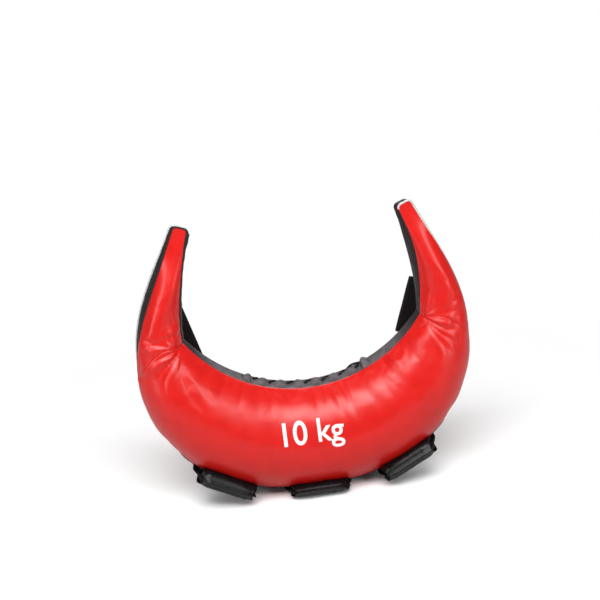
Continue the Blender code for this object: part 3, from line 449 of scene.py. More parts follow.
def neck_creases(point, row, q, side, hand):
    """Creases that fan out from a neck across the belly's end and the foot of the horn."""
    out_of_neck = mirrored(point, hand) - KINK
    reach = Vector((out_of_neck.x, 0, out_of_neck.z)).length
    angle = math.atan2(out_of_neck.z, out_of_neck.x)
    seed = HAND_SEEDS[hand]
    near = rise(reach, 0, NECK_NEAR) * (1 - rise(reach, NECK_FADE, NECK_FAR - NECK_FADE))
    fan = 1 - rise(abs(angle - NECK_AIM), NECK_FAN, NECK_FAN_EDGE)
    bent = angle + NECK_WAVER * wavy(reach / NECK_WAVER_LENGTH, seed, 0)
    crease = billow(bent / NECK_SPREAD, reach / NECK_CREASE_LENGTH,
                    seed + SIDE_SEED * side) - NECK_LEVEL
    beside_seam = abs(abs(row) - 1) * (INNER_ARC if abs(row) < 1 else HORN_LINE.length)
    clean = blend(NECK_CALM, 1, rise(beside_seam, NECK_CALM_START, NECK_CALM_RUN))
    return NECK_HEIGHT * crease * near * fan * clean * rise(q, 0, 0.3)


def horn_ripples(row, q, side, hand):
    """Small ripples across a horn, strained near the neck and gone towards the end."""
    up_horn = (abs(row) - 1) * HORN_LINE.length
    seed = HAND_SEEDS[hand]
    held = (rise(up_horn, 0, HORN_FOOT_RUN) * (1 - rise(abs(row), HORN_LAST_ROW, HORN_END_RUN))
            * (4 * q * (1 - q)) ** 0.5)
    ripple = wavy(up_horn / HORN_WIDTH, q * 1.1, seed + SIDE_SEED * side)
    patchy = 0.5 + wavy(up_horn / HORN_PATCH, q * 2, seed)
    strained = (NECK_RIPPLE * (1 - rise(up_horn, NECK_RIPPLE_START, NECK_RIPPLE_RUN))
                * rise(q, 0.15, 0.4))
    return HORN_HEIGHT * ripple * held * (patchy + strained)


def lumps(point, row, q, side):
    """Uneven stuffing under the faces, nearly all of it in the belly."""
    seed = SIDE_SEED * side
    lump = wavy(point.x / LUMP_WIDTH, point.z / LUMP_WIDTH, seed)
    fine = wavy(point.x / FINE_LUMP_WIDTH, point.z / FINE_LUMP_WIDTH, seed + 2)
    calm = rise(q, 0, LUMP_EDGE_SHARE) * rise(1 - q, 0, LUMP_EDGE_SHARE)
    calm *= 1 - rise(abs(row), LUMP_LAST_ROW, LUMP_END_RUN)
    calm *= 1 - HORN_LUMPS_LOST * rise(abs(row), 1, HORN_LUMPS_RUN)
    return LUMP_HEIGHT * (lump + FINE_LUMP_SHARE * fine) * calm


def fold_height(row, q, side):
    """Height of the folds over the smooth form."""
    point = smooth_face(row, q, side)
    hand = 1 if row > 0 else -1
    height = (seam_puckers(point, row, q, side) + neck_creases(point, row, q, side, hand)
              + lumps(point, row, q, side))
    if abs(row) > 1:
        height += horn_ripples(row, q, side, hand)
    gap = mirrored(point, hand) - PULL_PLACE
    gap.y = 0
    height -= PULL_DEPTH * math.exp(-(gap.length / PULL_REACH) ** 2) * rise(q, 0, 0.03)
    return min(max(height, FOLD_DEEPEST), FOLD_HIGHEST)


# Stuffing. The folded cover is closed into one sack, held along its seams, and pressed out
# from inside as cloth, which rounds the folds and draws them tight.
BELLY_ROWS = 180
HORN_ROWS = 64
FACE_COLUMNS = 56
GUSSET_COLUMNS = 8
WELD = 1e-6
STUFF_FRAMES = 14
STUFF_REACH = 0.0022
END_HELD_ROW = 1.93
CALM_ROW = 1.22                              # beyond it the tight horns stay as they are cut
CALM_RUN = 0.3
STUFF_SETTINGS = {
    "quality": 4, "mass": 0.25, "tension_stiffness": 25, "compression_stiffness": 12,
    "shear_stiffness": 8, "bending_stiffness": 0.15, "use_pressure": True,
    "uniform_pressure_force": 2.5, "shrink_min": -0.012, "vertex_group_mass": "sewn",
}

rows = spread(-2, -1, HORN_ROWS)[:-1] + spread(-1, 1, BELLY_ROWS) + spread(1, 2, HORN_ROWS)[1:]
first_belly = HORN_ROWS
last_belly = HORN_ROWS + BELLY_ROWS
shares = spread(0, 1, FACE_COLUMNS)
strip_shares = spread(-1, 1, GUSSET_COLUMNS)
FRONT = list(range(FACE_COLUMNS + 1))
ring = []
for row in rows:
    front, back = [[smooth_face(row, q, side)
                    + face_normal(row, q, side) * fold_height(row, q, side) for q in shares]
                   for side in (-1, 1)]
    inner, outer = [[strip_point(strip_frame(row, edge), share) for share in strip_shares[1:-1]]
                    for edge in (-1, 1)]
    ring.append(front + inner + back[::-1] + outer[::-1])
size = len(ring[0])
back_start = FACE_COLUMNS + GUSSET_COLUMNS
BACK = list(range(back_start, back_start + FACE_COLUMNS + 1))


def remade(mesh, weld=False, capped=False):
    """Weld a mesh or close its ends, and turn its faces outwards."""
    work = bmesh.new()
    work.from_mesh(mesh)
    if weld:
        bmesh.ops.remove_doubles(work, verts=work.verts, dist=WELD)
    if capped:
        bmesh.ops.holes_fill(work, edges=[edge for edge in work.edges if edge.is_boundary], sides=0)
    bmesh.ops.recalc_face_normals(work, faces=work.faces)
    work.to_mesh(mesh)
    work.free()


def around_cover():
    """The faces between the rows of the cover, by the places of their corners."""
    return [(line * size + place, line * size + (place + 1) % size,
             (line + 1) * size + (place + 1) % size, (line + 1) * size + place)
            for line in range(len(ring) - 1) for place in range(size)]


def closed_cover():
    """The cover as one closed mesh, with the sewn lines and gussets in a group that stays put."""
    mesh = bpy.data.meshes.new("stuffed_cover")
    points = [point for line in ring for point in line]
    faces = around_cover()
    for first in (0, len(points) - size):
        points.append(sum(points[first:first + size], Vector()) / size)
        for place in range(size):
            edge = (first + (place + 1) % size, first + place)
            faces.append((edge if first == 0 else edge[::-1]) + (len(points) - 1,))
    mesh.from_pydata(points, [], faces)
    remade(mesh)
    cover = bpy.data.objects.new("stuffed_cover", mesh)
    scene.collection.objects.link(cover)
    sewn = cover.vertex_groups.new(name="sewn")
    loose = set(FRONT[1:-1] + BACK[1:-1])
    kept = [line * size + column for line in range(len(ring)) for column in range(size)
            if column not in loose or abs(rows[line]) > END_HELD_ROW]
    sewn.add(kept + [len(points) - 2, len(points) - 1], 1.0, "REPLACE")
    return cover


cover = closed_cover()
before = [vertex.co.copy() for vertex in cover.data.vertices]
cloth = cover.modifiers.new("stuffing", "CLOTH")
for name, value in STUFF_SETTINGS.items():
    setattr(cloth.settings, name, value)
cloth.settings.effector_weights.gravity = 0
cloth.collision_settings.use_collision = False
for moment in range(1, STUFF_FRAMES + 1):
    scene.frame_set(moment)
stuffed = cover.evaluated_get(bpy.context.evaluated_depsgraph_get()).data
for line, row in enumerate(rows):
    for column in range(size):
        place = line * size + column
        move = stuffed.vertices[place].co - before[place]
        if move.length > STUFF_REACH:
            move *= STUFF_REACH / move.length
        ring[line][column] = before[place] + move * (1 - rise(abs(row), CALM_ROW, CALM_RUN))
scene.frame_set(1)
bpy.data.objects.remove(cover, do_unlink=True)


# Sheets. Every sewn piece starts as a flat grid and is laid on its place row by row, with its
# own lengths along and across as its UV map, in metres.
def applied(piece):
    bpy.context.view_layer.objects.active = piece
    for modifier in list(piece.modifiers):
        bpy.ops.object.modifier_apply(modifier=modifier.name)


def sheet(name, grid, thickness=0.0, levels=1, wrap=False, capped=False):
    """A piece of cloth over a grid of points, thickened inwards, or a tube with or without ends."""
    bpy.ops.object.select_all(action="DESELECT")
    bpy.ops.mesh.primitive_grid_add(x_subdivisions=len(grid[0]) - 1, y_subdivisions=len(grid) - 1,
                                    size=1, calc_uvs=True)
    piece = bpy.context.object
    piece.name = name
    mesh = piece.data
    points = [point for line in grid for point in line]
    for vertex, point in zip(mesh.vertices, points):
        vertex.co = point
    width = len(grid[0])
    runs = [0.0]
    middle = width // 2
    for a, b in zip(grid, grid[1:]):
        runs.append(runs[-1] + (b[middle] - a[middle]).length)
    widths = []
    for line in grid:
        reach = [0.0]
        for a, b in zip(line, line[1:]):
            reach.append(reach[-1] + (b - a).length)
        widths.append([value - (0 if wrap else reach[-1] / 2) for value in reach])
    uv = mesh.uv_layers.active.data
    for loop in mesh.loops:
        line, column = divmod(loop.vertex_index, width)
        uv[loop.index].uv = (runs[line], widths[line][column])
    if wrap:
        remade(mesh, weld=True)
    if levels:
        bend = piece.modifiers.new("rounding", "SUBSURF")
        bend.levels = bend.render_levels = levels
    if thickness:
        wall = piece.modifiers.new("thickness", "SOLIDIFY")
        wall.thickness = thickness
        wall.offset = -1
        wall.use_even_offset = False
    applied(piece)
    if capped:
        remade(mesh, capped=True)
    mesh.shade_smooth()
    return piece


# Red leather. Smooth coated synthetic leather with a satin sheen: a very fine grain, and a soft
# mottling of its colour and gloss.
RED = (0.60, 0.0055, 0.0030, 1)
DEEP_RED = (0.56, 0.0045, 0.0025, 1)
GRAIN_SIZE = 0.0011


def leather_grain():
    """Group: pebbled grain and hairline creases of a coated cloth, as a height and a mask."""
    group = bpy.data.node_groups.new("leather_grain", "ShaderNodeTree")
    group.interface.new_socket("Vector", in_out="INPUT", socket_type="NodeSocketVector")
    group.interface.new_socket("Grain Scale", in_out="INPUT", socket_type="NodeSocketFloat")
    group.interface.new_socket("Height", in_out="OUTPUT", socket_type="NodeSocketFloat")
    group.interface.new_socket("Mottle", in_out="OUTPUT", socket_type="NodeSocketFloat")
    start = node(group, "NodeGroupInput")
    end = node(group, "NodeGroupOutput")
    vector = start.outputs["Vector"]
    cells = node(group, "ShaderNodeTexVoronoi", feature="SMOOTH_F1", Vector=vector,
                 Scale=start.outputs["Grain Scale"], Smoothness=0.4).outputs["Distance"]
    slow = node(group, "ShaderNodeTexNoise", Vector=vector, Scale=46.0, Detail=3.0,
                Roughness=0.55).outputs[0]
    hair = node(group, "ShaderNodeTexNoise", Vector=vector, Scale=260.0, Detail=2.0,
                Distortion=1.2).outputs[0]
    grain = maths(group, "MULTIPLY", cells, 0.35)
    lines = maths(group, "MULTIPLY", hair, 0.5)
    height = maths(group, "MULTIPLY_ADD", slow, 1.6, maths(group, "ADD", grain, lines))
    group.links.new(height, end.inputs["Height"])
    group.links.new(slow, end.inputs["Mottle"])
    return group


GRAIN = leather_grain()


def principled(name, roughness, **sockets):
    """A material with the plain values of its shader set on the shader itself."""
    material = bpy.data.materials.new(name)
    material.use_nodes = True
    shader = material.node_tree.nodes["Principled BSDF"]
    shader.inputs["Roughness"].default_value = roughness
    for socket, value in sockets.items():
        shader.inputs[socket.replace("_", " ")].default_value = value
    return material, material.node_tree, shader


def ramp(tree, factor, low, high, start=0.0, end=1.0):
    """Colour that runs from low to high as a factor goes from start to end."""
    share = node(tree, "ShaderNodeMapRange", factor, start, end).outputs[0]
    mix = node(tree, "ShaderNodeMix", data_type="RGBA")
    tree.links.new(share, mix.inputs[0])
    for socket, value in ((mix.inputs[6], low), (mix.inputs[7], high)):
        if isinstance(value, bpy.types.NodeSocket):
            tree.links.new(value, socket)
        else:
            socket.default_value = value
    return mix.outputs[2]


def bump(tree, shader, height, distance):
    lifted = node(tree, "ShaderNodeBump", Height=height, Distance=distance, Strength=1.0)
    tree.links.new(lifted.outputs[0], shader.inputs["Normal"])


def coated(name, low, high, roughness, grain_depth, roughness_swing, gloss):
    """Coated synthetic leather in a colour."""
    material, tree, shader = principled(name, roughness, Specular_IOR_Level=gloss)
    grain = node(tree, "ShaderNodeGroup", node_tree=GRAIN)
    tree.links.new(object_place(tree), grain.inputs["Vector"])
    grain.inputs["Grain Scale"].default_value = 1 / GRAIN_SIZE
    colour = ramp(tree, grain.outputs["Mottle"], low, high, 0.35, 0.6)
    tree.links.new(colour, shader.inputs["Base Color"])
    rough = node(tree, "ShaderNodeMapRange", grain.outputs["Mottle"], 0.3, 0.7,
                 roughness - roughness_swing, roughness + roughness_swing).outputs[0]
    tree.links.new(rough, shader.inputs["Roughness"])
    bump(tree, shader, grain.outputs["Height"], grain_depth)
    return material


RED_LEATHER = coated("red_leather", DEEP_RED, RED, 0.33, 0.00016, 0.03, 0.50)


# Faces. Each face has a belly panel and two horn panels, turned in along the cross seam at the
# neck, and run round the corners of the horn's end.
SEAM_TUCK = 0.0013
SEAM_ROLL = 0.0011
PANEL_CLOTH = 0.0012
END_STEPS = 5
END_TUCK = 0.0009


def tucked(a, b, side):
    """Two rows that roll a panel's edge in to the cross seam, from its last two rows."""
    rolled, sewn = [], []
    for near, edge in zip(a, b):
        back = (near - edge).normalized()
        inwards = Vector((0, -side, 0))
        inwards -= back * inwards.dot(back)
        inwards.normalize()
        rolled.append(edge + back * SEAM_ROLL)
        sewn.append(edge + back * SEAM_ROLL / 4 + inwards * SEAM_TUCK)
    return [rolled, sewn]


def end_rows(sign, side):
    """Rows of a horn panel round the corners of the horn's end."""
    middle = (TIP_OUTER + TIP_INNER) / 2 - TIP_UP * TIP_CORNER
    grown = []
    for step in range(1, END_STEPS + 1):
        turn = math.radians(90 * step / END_STEPS)
        half = TIP_WIDTH / 2 - TIP_CORNER + (TIP_CORNER - END_TUCK) * math.cos(turn)
        grown.append([mirrored(middle + TIP_ALONG * half * (1 - 2 * q)
                               + TIP_UP * (TIP_CORNER - END_TUCK) * math.sin(turn), sign)
                      + Vector((-HORN_TURN * horn_end_turn(2) * side, side * HALF_GUSSETS[2], 0))
                      for q in shares])
    return grown


cover_pieces = {}
for word, side, columns in (("front", -1, FRONT), ("back", 1, list(reversed(BACK)))):
    face = [[line[column] for column in columns] for line in ring]
    parts = {
        "belly": face[first_belly:last_belly + 1],
        "left": list(reversed(face[:first_belly + 1])),
        "right": face[last_belly:],
    }
    belly = parts["belly"]
    belly = (list(reversed(tucked(belly[1], belly[0], side))) + belly[1:-1]
             + tucked(belly[-2], belly[-1], side))
    panel = sheet(f"{word}_belly_leather", belly, PANEL_CLOTH)
    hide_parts(f"{word}_belly_panel")
    cover_pieces[panel.name] = panel
    for hand, sign in (("left", -1), ("right", 1)):
        horn = parts[hand]
        horn = list(reversed(tucked(horn[1], horn[0], side))) + horn[1:] + end_rows(sign, side)
        panel = sheet(f"{word}_horn_leather_{hand}", horn, PANEL_CLOTH)
        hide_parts(f"{word}_horn_panel_{hand}")
        cover_pieces[panel.name] = panel
for piece in cover_pieces.values():
    piece.data.materials.append(RED_LEATHER)
    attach(piece, "bag")


# Gussets. Strips of dark grey coated cloth between the faces: one runs round the outside and
# over both horn ends, and one up the inside of each horn from the lacing.
GREY = (0.100, 0.085, 0.092, 1)
DARK_GREY = (0.060, 0.050, 0.055, 1)
# Painted shade: the near black that the gussets' colour runs to up the horns.
PAINTED_SHADE = (0.016, 0.014, 0.015, 1)
SHADE_HEIGHTS = (0.225, 0.262)
GUSSET_CLOTH = 0.0012
GUSSET_FOLD = 0.0012
GUSSET_FOLD_LENGTH = 0.011
TIP_STEPS = 4
GREY_CLOTH = coated("grey_gusset", DARK_GREY, GREY, 0.48, 0.0005, 0.06, 0.35)


def gusset_with_painted_shade():
    """The gussets' cloth with painted shade: its colour runs to near black up the horns, where they
    lie in shade.
    """
    material, tree, shader = principled("gusset_painted_shade", 0.45, Specular_IOR_Level=0.3)
    place = object_place(tree)
    grain = node(tree, "ShaderNodeGroup", node_tree=GRAIN)
    tree.links.new(place, grain.inputs["Vector"])
    grain.inputs["Grain Scale"].default_value = 1 / GRAIN_SIZE
    height = node(tree, "ShaderNodeSeparateXYZ", place).outputs[2]
    cloth = ramp(tree, grain.outputs["Mottle"], DARK_GREY, GREY, 0.35, 0.6)
    # Painted shade: between these heights the colour is darkened towards near black.
    dark = ramp(tree, height, cloth, PAINTED_SHADE, *SHADE_HEIGHTS)
    tree.links.new(dark, shader.inputs["Base Color"])
    bump(tree, shader, grain.outputs["Height"], 0.0005)
    return material


PAINTED_SHADE_CLOTH = gusset_with_painted_shade()


def crumpled(strip, seed):
    """A row across a gusset with small folds."""
    line = []
    for share in strip_shares:
        point = strip_point(strip, share)
        folds = wavy(point.x / GUSSET_FOLD_LENGTH, point.z / GUSSET_FOLD_LENGTH, seed + share * 0.8)
        line.append(point + strip[1] * (GUSSET_FOLD * folds * (1 - share ** 4)))
    return line


outer_frames = [strip_frame(row, 1) for row in rows]
inner_frames = [strip_frame(row, -1) for row in rows]
over_tips = {sign: tip_frames(sign, TIP_STEPS) for sign in (-1, 1)}
runs = {"outer_gusset": list(reversed(over_tips[-1])) + outer_frames[1:-1] + over_tips[1]}
for hand, sign in (("left", -1), ("right", 1)):
    runs[f"inner_gusset_{hand}"] = [strip for row, strip in zip(rows, inner_frames)
                                    if row * sign > LACING_END - 0.02]
for seed, (name, run) in enumerate(runs.items()):
    piece = sheet(f"{name}_cloth", [crumpled(strip, seed * 3.1) for strip in run], GUSSET_CLOTH)
    # The gussets get the cloth with the painted shade up the horns.
    piece.data.materials.append(PAINTED_SHADE_CLOTH)
    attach(piece, "bag")
    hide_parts(name)


# Piping. A cord is sewn into both seams all the way round. Up the horn on each face's right it
# has a silver reflective cover with fine dark ribs, and elsewhere it is plain grey cloth that
# takes the gussets' painted shade up the horns.
PIPING_RADIUS = 0.0012
SILVER_RADIUS = 0.0019
PIPING_SIDES = 10
RIB_PITCH = 0.0030
SILVER = (0.60, 0.59, 0.58, 1)
RIB_BLACK = (0.36, 0.36, 0.36, 1)
TURN = 2 * math.pi


def sweep(name, frames, outline, closed_path=False):
    """A closed outline carried along frames of (point, aside, over)."""
    if closed_path:
        frames = frames + [frames[0]]
    grid = [[point + aside * x + over * y for x, y in outline + outline[:1]]
            for point, aside, over in frames]
    return sheet(name, grid, levels=0, wrap=True, capped=not closed_path)


def along_path(points, up):
    """Frames along a path, with one axis kept as near as may be to a direction."""
    frames = []
    for place, point in enumerate(points):
        way = (points[min(place + 1, len(points) - 1)] - points[max(place - 1, 0)]).normalized()
        over = (up - way * up.dot(way)).normalized()
        frames.append((point, way.cross(over), over))
    return frames


def circle(radius, sides):
    return [(radius * math.cos(TURN * step / sides), radius * math.sin(TURN * step / sides))
            for step in range(sides)]


def reflective_piping():
    """Silver reflective cloth with dark ribs across the cord."""
    material, tree, shader = principled("reflective_piping", 0.42, Metallic=0.2)
    flat = node(tree, "ShaderNodeSeparateXYZ", node(tree, "ShaderNodeUVMap").outputs[0])
    wave = maths(tree, "SINE", maths(tree, "MULTIPLY", flat.outputs[0], TURN / RIB_PITCH))
    tree.links.new(ramp(tree, wave, SILVER, RIB_BLACK, 0.2, 1.0), shader.inputs["Base Color"])
    bump(tree, shader, wave, 0.00015)
    return material


REFLECTIVE = reflective_piping()
for word, side in (("front", -1), ("back", 1)):
    far = -side
    silver = [strip for row, strip in zip(rows, outer_frames) if 0 <= row * far < 2]
    silver = (silver if far > 0 else list(reversed(silver))) + over_tips[far]
    plain = [strip for row, strip in zip(rows, outer_frames) if -2 < row * far <= 0]
    plain = (plain if far < 0 else list(reversed(plain))) + over_tips[-far]
    inner = inner_frames[1:-1] if far < 0 else list(reversed(inner_frames[1:-1]))
    plain += list(reversed(inner))
    for finish, radius, run in (("silver", SILVER_RADIUS, silver), ("plain", PIPING_RADIUS, plain)):
        points = [strip_point(strip, side) for strip in run]
        piece = sweep(f"{word}_{finish}_piping", along_path(points, SEAM_Y),
                      circle(radius, PIPING_SIDES))
        piece.data.materials.append(REFLECTIVE if finish == "silver" else PAINTED_SHADE_CLOTH)
        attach(piece, "bag")
        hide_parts(f"{word}_piping")


# Lacing. Two grey flaps in the middle of the inner gusset are drawn up into a scalloped ridge
# by a black lace that goes over the ridge and through both flaps in every dip. A box pleat
# takes up the slack at each end.
LACE_PITCH = 0.030
LACE_HALF_WIDTH = 0.0054
LACE_HALF_HEIGHT = 0.0032
LACE_CENTRE = 0.0026
LACE_WIDE = 0.0025
LACE_THICK = 0.0015
LACE_SIDES = 12
BRAID_PITCH = 0.0030
LACE_STEPS = 24
LACE_TURNS = 3.1
LACE_TAIL = (0.070, 0.100)
LACE_TAIL_LIFT = 0.0048
LACE_TAIL_Y = -0.0020
LACE_TAIL_SWAY = 0.0026
LACE_TAIL_STEPS = 30
FLAP_GAP = 0.0008
FLAP_RIDGE = 0.0054
FLAP_SCALLOP = 0.0028
FLAP_FOOT = 0.40                             # share of a flap's width that lies flat
FLAP_TOP = 0.86
FLAP_END_SHARE = 0.50
FLAP_ROWS = 220
FLAP_COLUMNS = 14
FLAP_CLOTH = 0.0011
FLAP_FOLD = 0.0011
FLAP_FOLD_WIDTHS = (0.005, 0.013)
FLAP_GATHER = 0.0060
FLAP_GATHER_START = 0.35
FLAP_GATHER_RUN = 0.4
PLEATS = {0.103: 0.0052, -0.104: 0.0024}      # place along the ridge, height
PLEAT_HALF = 0.0075
PLEAT_CREASE = 0.0016
BLACK = (0.008, 0.008, 0.009, 1)


def lacing_frame(along):
    """Point of the inner seam line and its outward direction, a distance along it."""
    turn = along / INNER_RADIUS
    out = Vector((-math.sin(turn), 0, math.cos(turn)))
    return Vector((0, 0, INNER_LOW + INNER_RADIUS)) - out * INNER_RADIUS, out


def flap_point(along, share, side):
    base, out = lacing_frame(along)
    left = (LACING_HALF_LENGTH - abs(along)) / LACE_PITCH
    full = smooth(left * 3)
    ridge = FLAP_RIDGE * blend(FLAP_END_SHARE, 1, full)
    dip = math.cos(TURN * along / LACE_PITCH)
    ridge -= FLAP_SCALLOP * (abs(dip) ** 0.7 * math.copysign(1, dip)) * full
    folds = wavy(along / FLAP_FOLD_WIDTHS[0], share * 1.1, 3 * side)
    folds += 0.7 * wavy(along / FLAP_FOLD_WIDTHS[1], share * 2, 3 * side + 9)
    gather = rise(share, FLAP_GATHER_START, FLAP_GATHER_RUN)
    y = blend(HALF_GUSSETS[0], FLAP_GAP, share) - FLAP_GATHER * gather * (1 - share) * dip * full
    risen = rise(share, FLAP_FOOT, FLAP_TOP - FLAP_FOOT)
    lift = ridge * risen + FLAP_FOLD * folds * (0.25 + 0.9 * gather) * (1 - share ** 6)
    for place, height in PLEATS.items():
        reach = abs(along - place) / PLEAT_HALF
        lift += height * (1 - rise(reach, 0.75, 0.3)) * smooth(share * 2.2)
        lift -= PLEAT_CREASE * math.exp(-((reach - 1.15) / 0.16) ** 2) * smooth(share * 3)
    return base + out * lift + SEAM_Y * (side * y)


for word, side in (("front", -1), ("back", 1)):
    flap = [[flap_point(along, share, side) for share in spread(0, 1, FLAP_COLUMNS)]
            for along in spread(-LACING_HALF_LENGTH, LACING_HALF_LENGTH, FLAP_ROWS)]
    piece = sheet(f"{word}_lacing_flap_cloth", flap, FLAP_CLOTH)
    piece.data.materials.append(GREY_CLOTH)
    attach(piece, "bag")
    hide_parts(f"lacing_flap_{word}")


# A grey placket lies under the flaps, over the stuffing.
PLACKET_SINK = 0.0040
PLACKET_HALF_WIDTH = HALF_GUSSETS[0] * 0.85
placket = [[lacing_frame(along)[0] - lacing_frame(along)[1] * PLACKET_SINK + SEAM_Y * y
            for y in spread(-PLACKET_HALF_WIDTH, PLACKET_HALF_WIDTH, 6)]
           for along in spread(-LACING_HALF_LENGTH, LACING_HALF_LENGTH, 60)]
piece = sheet("placket_cloth", placket, FLAP_CLOTH, levels=0)
piece.data.materials.append(GREY_CLOTH)
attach(piece, "bag")
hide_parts("lacing_placket")


def braided(name, colour, pitch, turns_round):
    """Tightly braided cord."""
    material, tree, shader = principled(name, 0.75, Specular_IOR_Level=0.3)
    flat = node(tree, "ShaderNodeSeparateXYZ", node(tree, "ShaderNodeUVMap").outputs[0])
    waves = []
    for sign in (1, -1):
        along = maths(tree, "MULTIPLY", flat.outputs[0], TURN / pitch)
        mixed = maths(tree, "MULTIPLY_ADD", flat.outputs[1], sign * turns_round, along)
        waves.append(maths(tree, "SINE", mixed))
    height = maths(tree, "MAXIMUM", *waves)
    dark = tuple(value * 0.35 for value in colour[:3]) + (1,)
    tree.links.new(ramp(tree, height, dark, colour, 0.0, 1.0), shader.inputs["Base Color"])
    bump(tree, shader, height, 0.00025)
    return material


def lace_point(turns):
    base, out = lacing_frame(turns * LACE_PITCH)
    angle = TURN * turns
    return (base + out * (LACE_CENTRE + LACE_HALF_HEIGHT * math.cos(angle))
            + SEAM_Y * (LACE_HALF_WIDTH * math.sin(angle)))


LACE = braided("black_lace", BLACK, BRAID_PITCH, 2 / LACE_WIDE)
points = [lace_point(turns) for turns in
          spread(-LACE_TURNS, LACE_TURNS, int(2 * LACE_TURNS * LACE_STEPS))]
lace_frames = []
for place, (point, aside, over) in enumerate(along_path(points, Vector((0, 0, 1)))):
    centre = lacing_frame(blend(-LACE_TURNS, LACE_TURNS, place / (len(points) - 1)) * LACE_PITCH)
    away = point - centre[0] - centre[1] * LACE_CENTRE
    way = (points[min(place + 1, len(points) - 1)] - points[max(place - 1, 0)]).normalized()
    away = (away - way * away.dot(way)).normalized()
    lace_frames.append((point, way.cross(away), away))
lace_outline = [(LACE_WIDE * x, LACE_THICK * y) for x, y in circle(1, LACE_SIDES)]
piece = sweep("flat_lace", lace_frames, lace_outline)
piece.data.materials.append(LACE)
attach(piece, "bag")
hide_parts("lacing_cord")

tail = []
for step in range(LACE_TAIL_STEPS + 1):
    base, out = lacing_frame(blend(*LACE_TAIL, step / LACE_TAIL_STEPS))
    bow = LACE_TAIL_LIFT * math.sin(math.pi * step / LACE_TAIL_STEPS) ** 0.4
    tail.append(base + out * (LACE_CENTRE + LACE_HALF_HEIGHT + bow)
                + SEAM_Y * (LACE_TAIL_Y + LACE_TAIL_SWAY * math.sin(5 * step / LACE_TAIL_STEPS)))
piece = sweep("lace_end", along_path(tail, SEAM_Y), [(y, x) for x, y in reversed(lace_outline)])
piece.data.materials.append(LACE)
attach(piece, "bag")


# Base strap. Flat woven strap of black nylon with a firm selvedge, sewn along both edges under
# the belly. The handles and the hand straps are made of the same webbing.
WEBBING = 0.0022
YARN_ALONG = 0.0017
YARN_ACROSS = 0.0024
WEB_BLACK = (0.010, 0.010, 0.011, 1)
WEB_DARK = (0.003, 0.003, 0.003, 1)
THREAD_BLACK = (0.045, 0.045, 0.048, 1)
THREAD_DARK = (0.0225, 0.0225, 0.024, 1)
STRAP_HALF_LENGTH = 0.245
STRAP_HALF_WIDTH = 0.034
STRAP_ROWS = 200
STRAP_COLUMNS = 22
CLEARANCE = 0.0003
SEAM_STEPS = 500
RAY_START = 0.05
STITCH_LENGTH = 0.0026
STITCH_PITCH = 0.0036
STITCH_RADIUS = 0.00035
STITCH_SIDES = 5
STITCH_FORM = ((-0.5, 0.35), (-0.3, 0.9), (0, 1.0), (0.3, 0.9), (0.5, 0.35))     # place, swell


def woven_height(tree):
    """Height of a woven strap from its UV map, with every other yarn set half a step on."""
    flat = node(tree, "ShaderNodeSeparateXYZ", node(tree, "ShaderNodeUVMap").outputs[0])
    across_yarns = maths(tree, "MULTIPLY", flat.outputs[1], 1 / YARN_ACROSS)
    shift = maths(tree, "MULTIPLY", maths(tree, "FLOOR", across_yarns), math.pi)
    along = maths(tree, "MULTIPLY_ADD", flat.outputs[0], math.pi / YARN_ALONG, shift)
    beat = maths(tree, "SINE", along)
    turns = maths(tree, "MULTIPLY", across_yarns, math.pi)
    round_yarn = maths(tree, "ABSOLUTE", maths(tree, "SINE", turns))
    return maths(tree, "MULTIPLY_ADD", beat, 0.6, round_yarn)


def black_webbing():
    material, tree, shader = principled("black_webbing", 0.85, Specular_IOR_Level=0.25)
    height = woven_height(tree)
    tree.links.new(ramp(tree, height, WEB_DARK, WEB_BLACK, -0.4, 1.0), shader.inputs["Base Color"])
    bump(tree, shader, height, 0.00035)
    return material


def strap_outline(half_width, thickness):
    """Cross-section of a strap with thick, rounded edges."""
    half = thickness / 2
    edge = half * 0.9
    outline = []
    for sign in (1, -1):
        for turn in (-60, -20, 20, 60):
            angle = math.radians(turn)
            outline.append((sign * (half_width - edge + edge * math.cos(angle)),
                            sign * half * math.sin(angle)))
        outline += [(sign * half_width * share, sign * half * 0.88)
                    for share in (0.8, 0.4, 0, -0.4, -0.8)]
    return outline


def outer_walk():
    """Distances along the outer seam with the matching t."""
    walk = [(0.0, 0.0)]
    for step in range(1, SEAM_STEPS + 1):
        gap = outer_seam(step / SEAM_STEPS) - outer_seam((step - 1) / SEAM_STEPS)
        walk.append((walk[-1][0] + gap.length, step / SEAM_STEPS))
    return walk


WALK = outer_walk()


def under_belly(distance, lift):
    """Point under the belly at a signed distance along the outer seam, and the way outwards."""
    for (low, a), (high, b) in zip(WALK, WALK[1:]):
        if low <= abs(distance) <= high:
            t = blend(a, b, (abs(distance) - low) / (high - low))
            break
    gap = outer_seam(t + STEP) - outer_seam(max(t - STEP, 0))
    sign = -1 if distance < 0 else 1
    out = mirrored(Vector((gap.z, 0, -gap.x)).normalized(), sign)
    return mirrored(outer_seam(t), sign) + out * lift, out


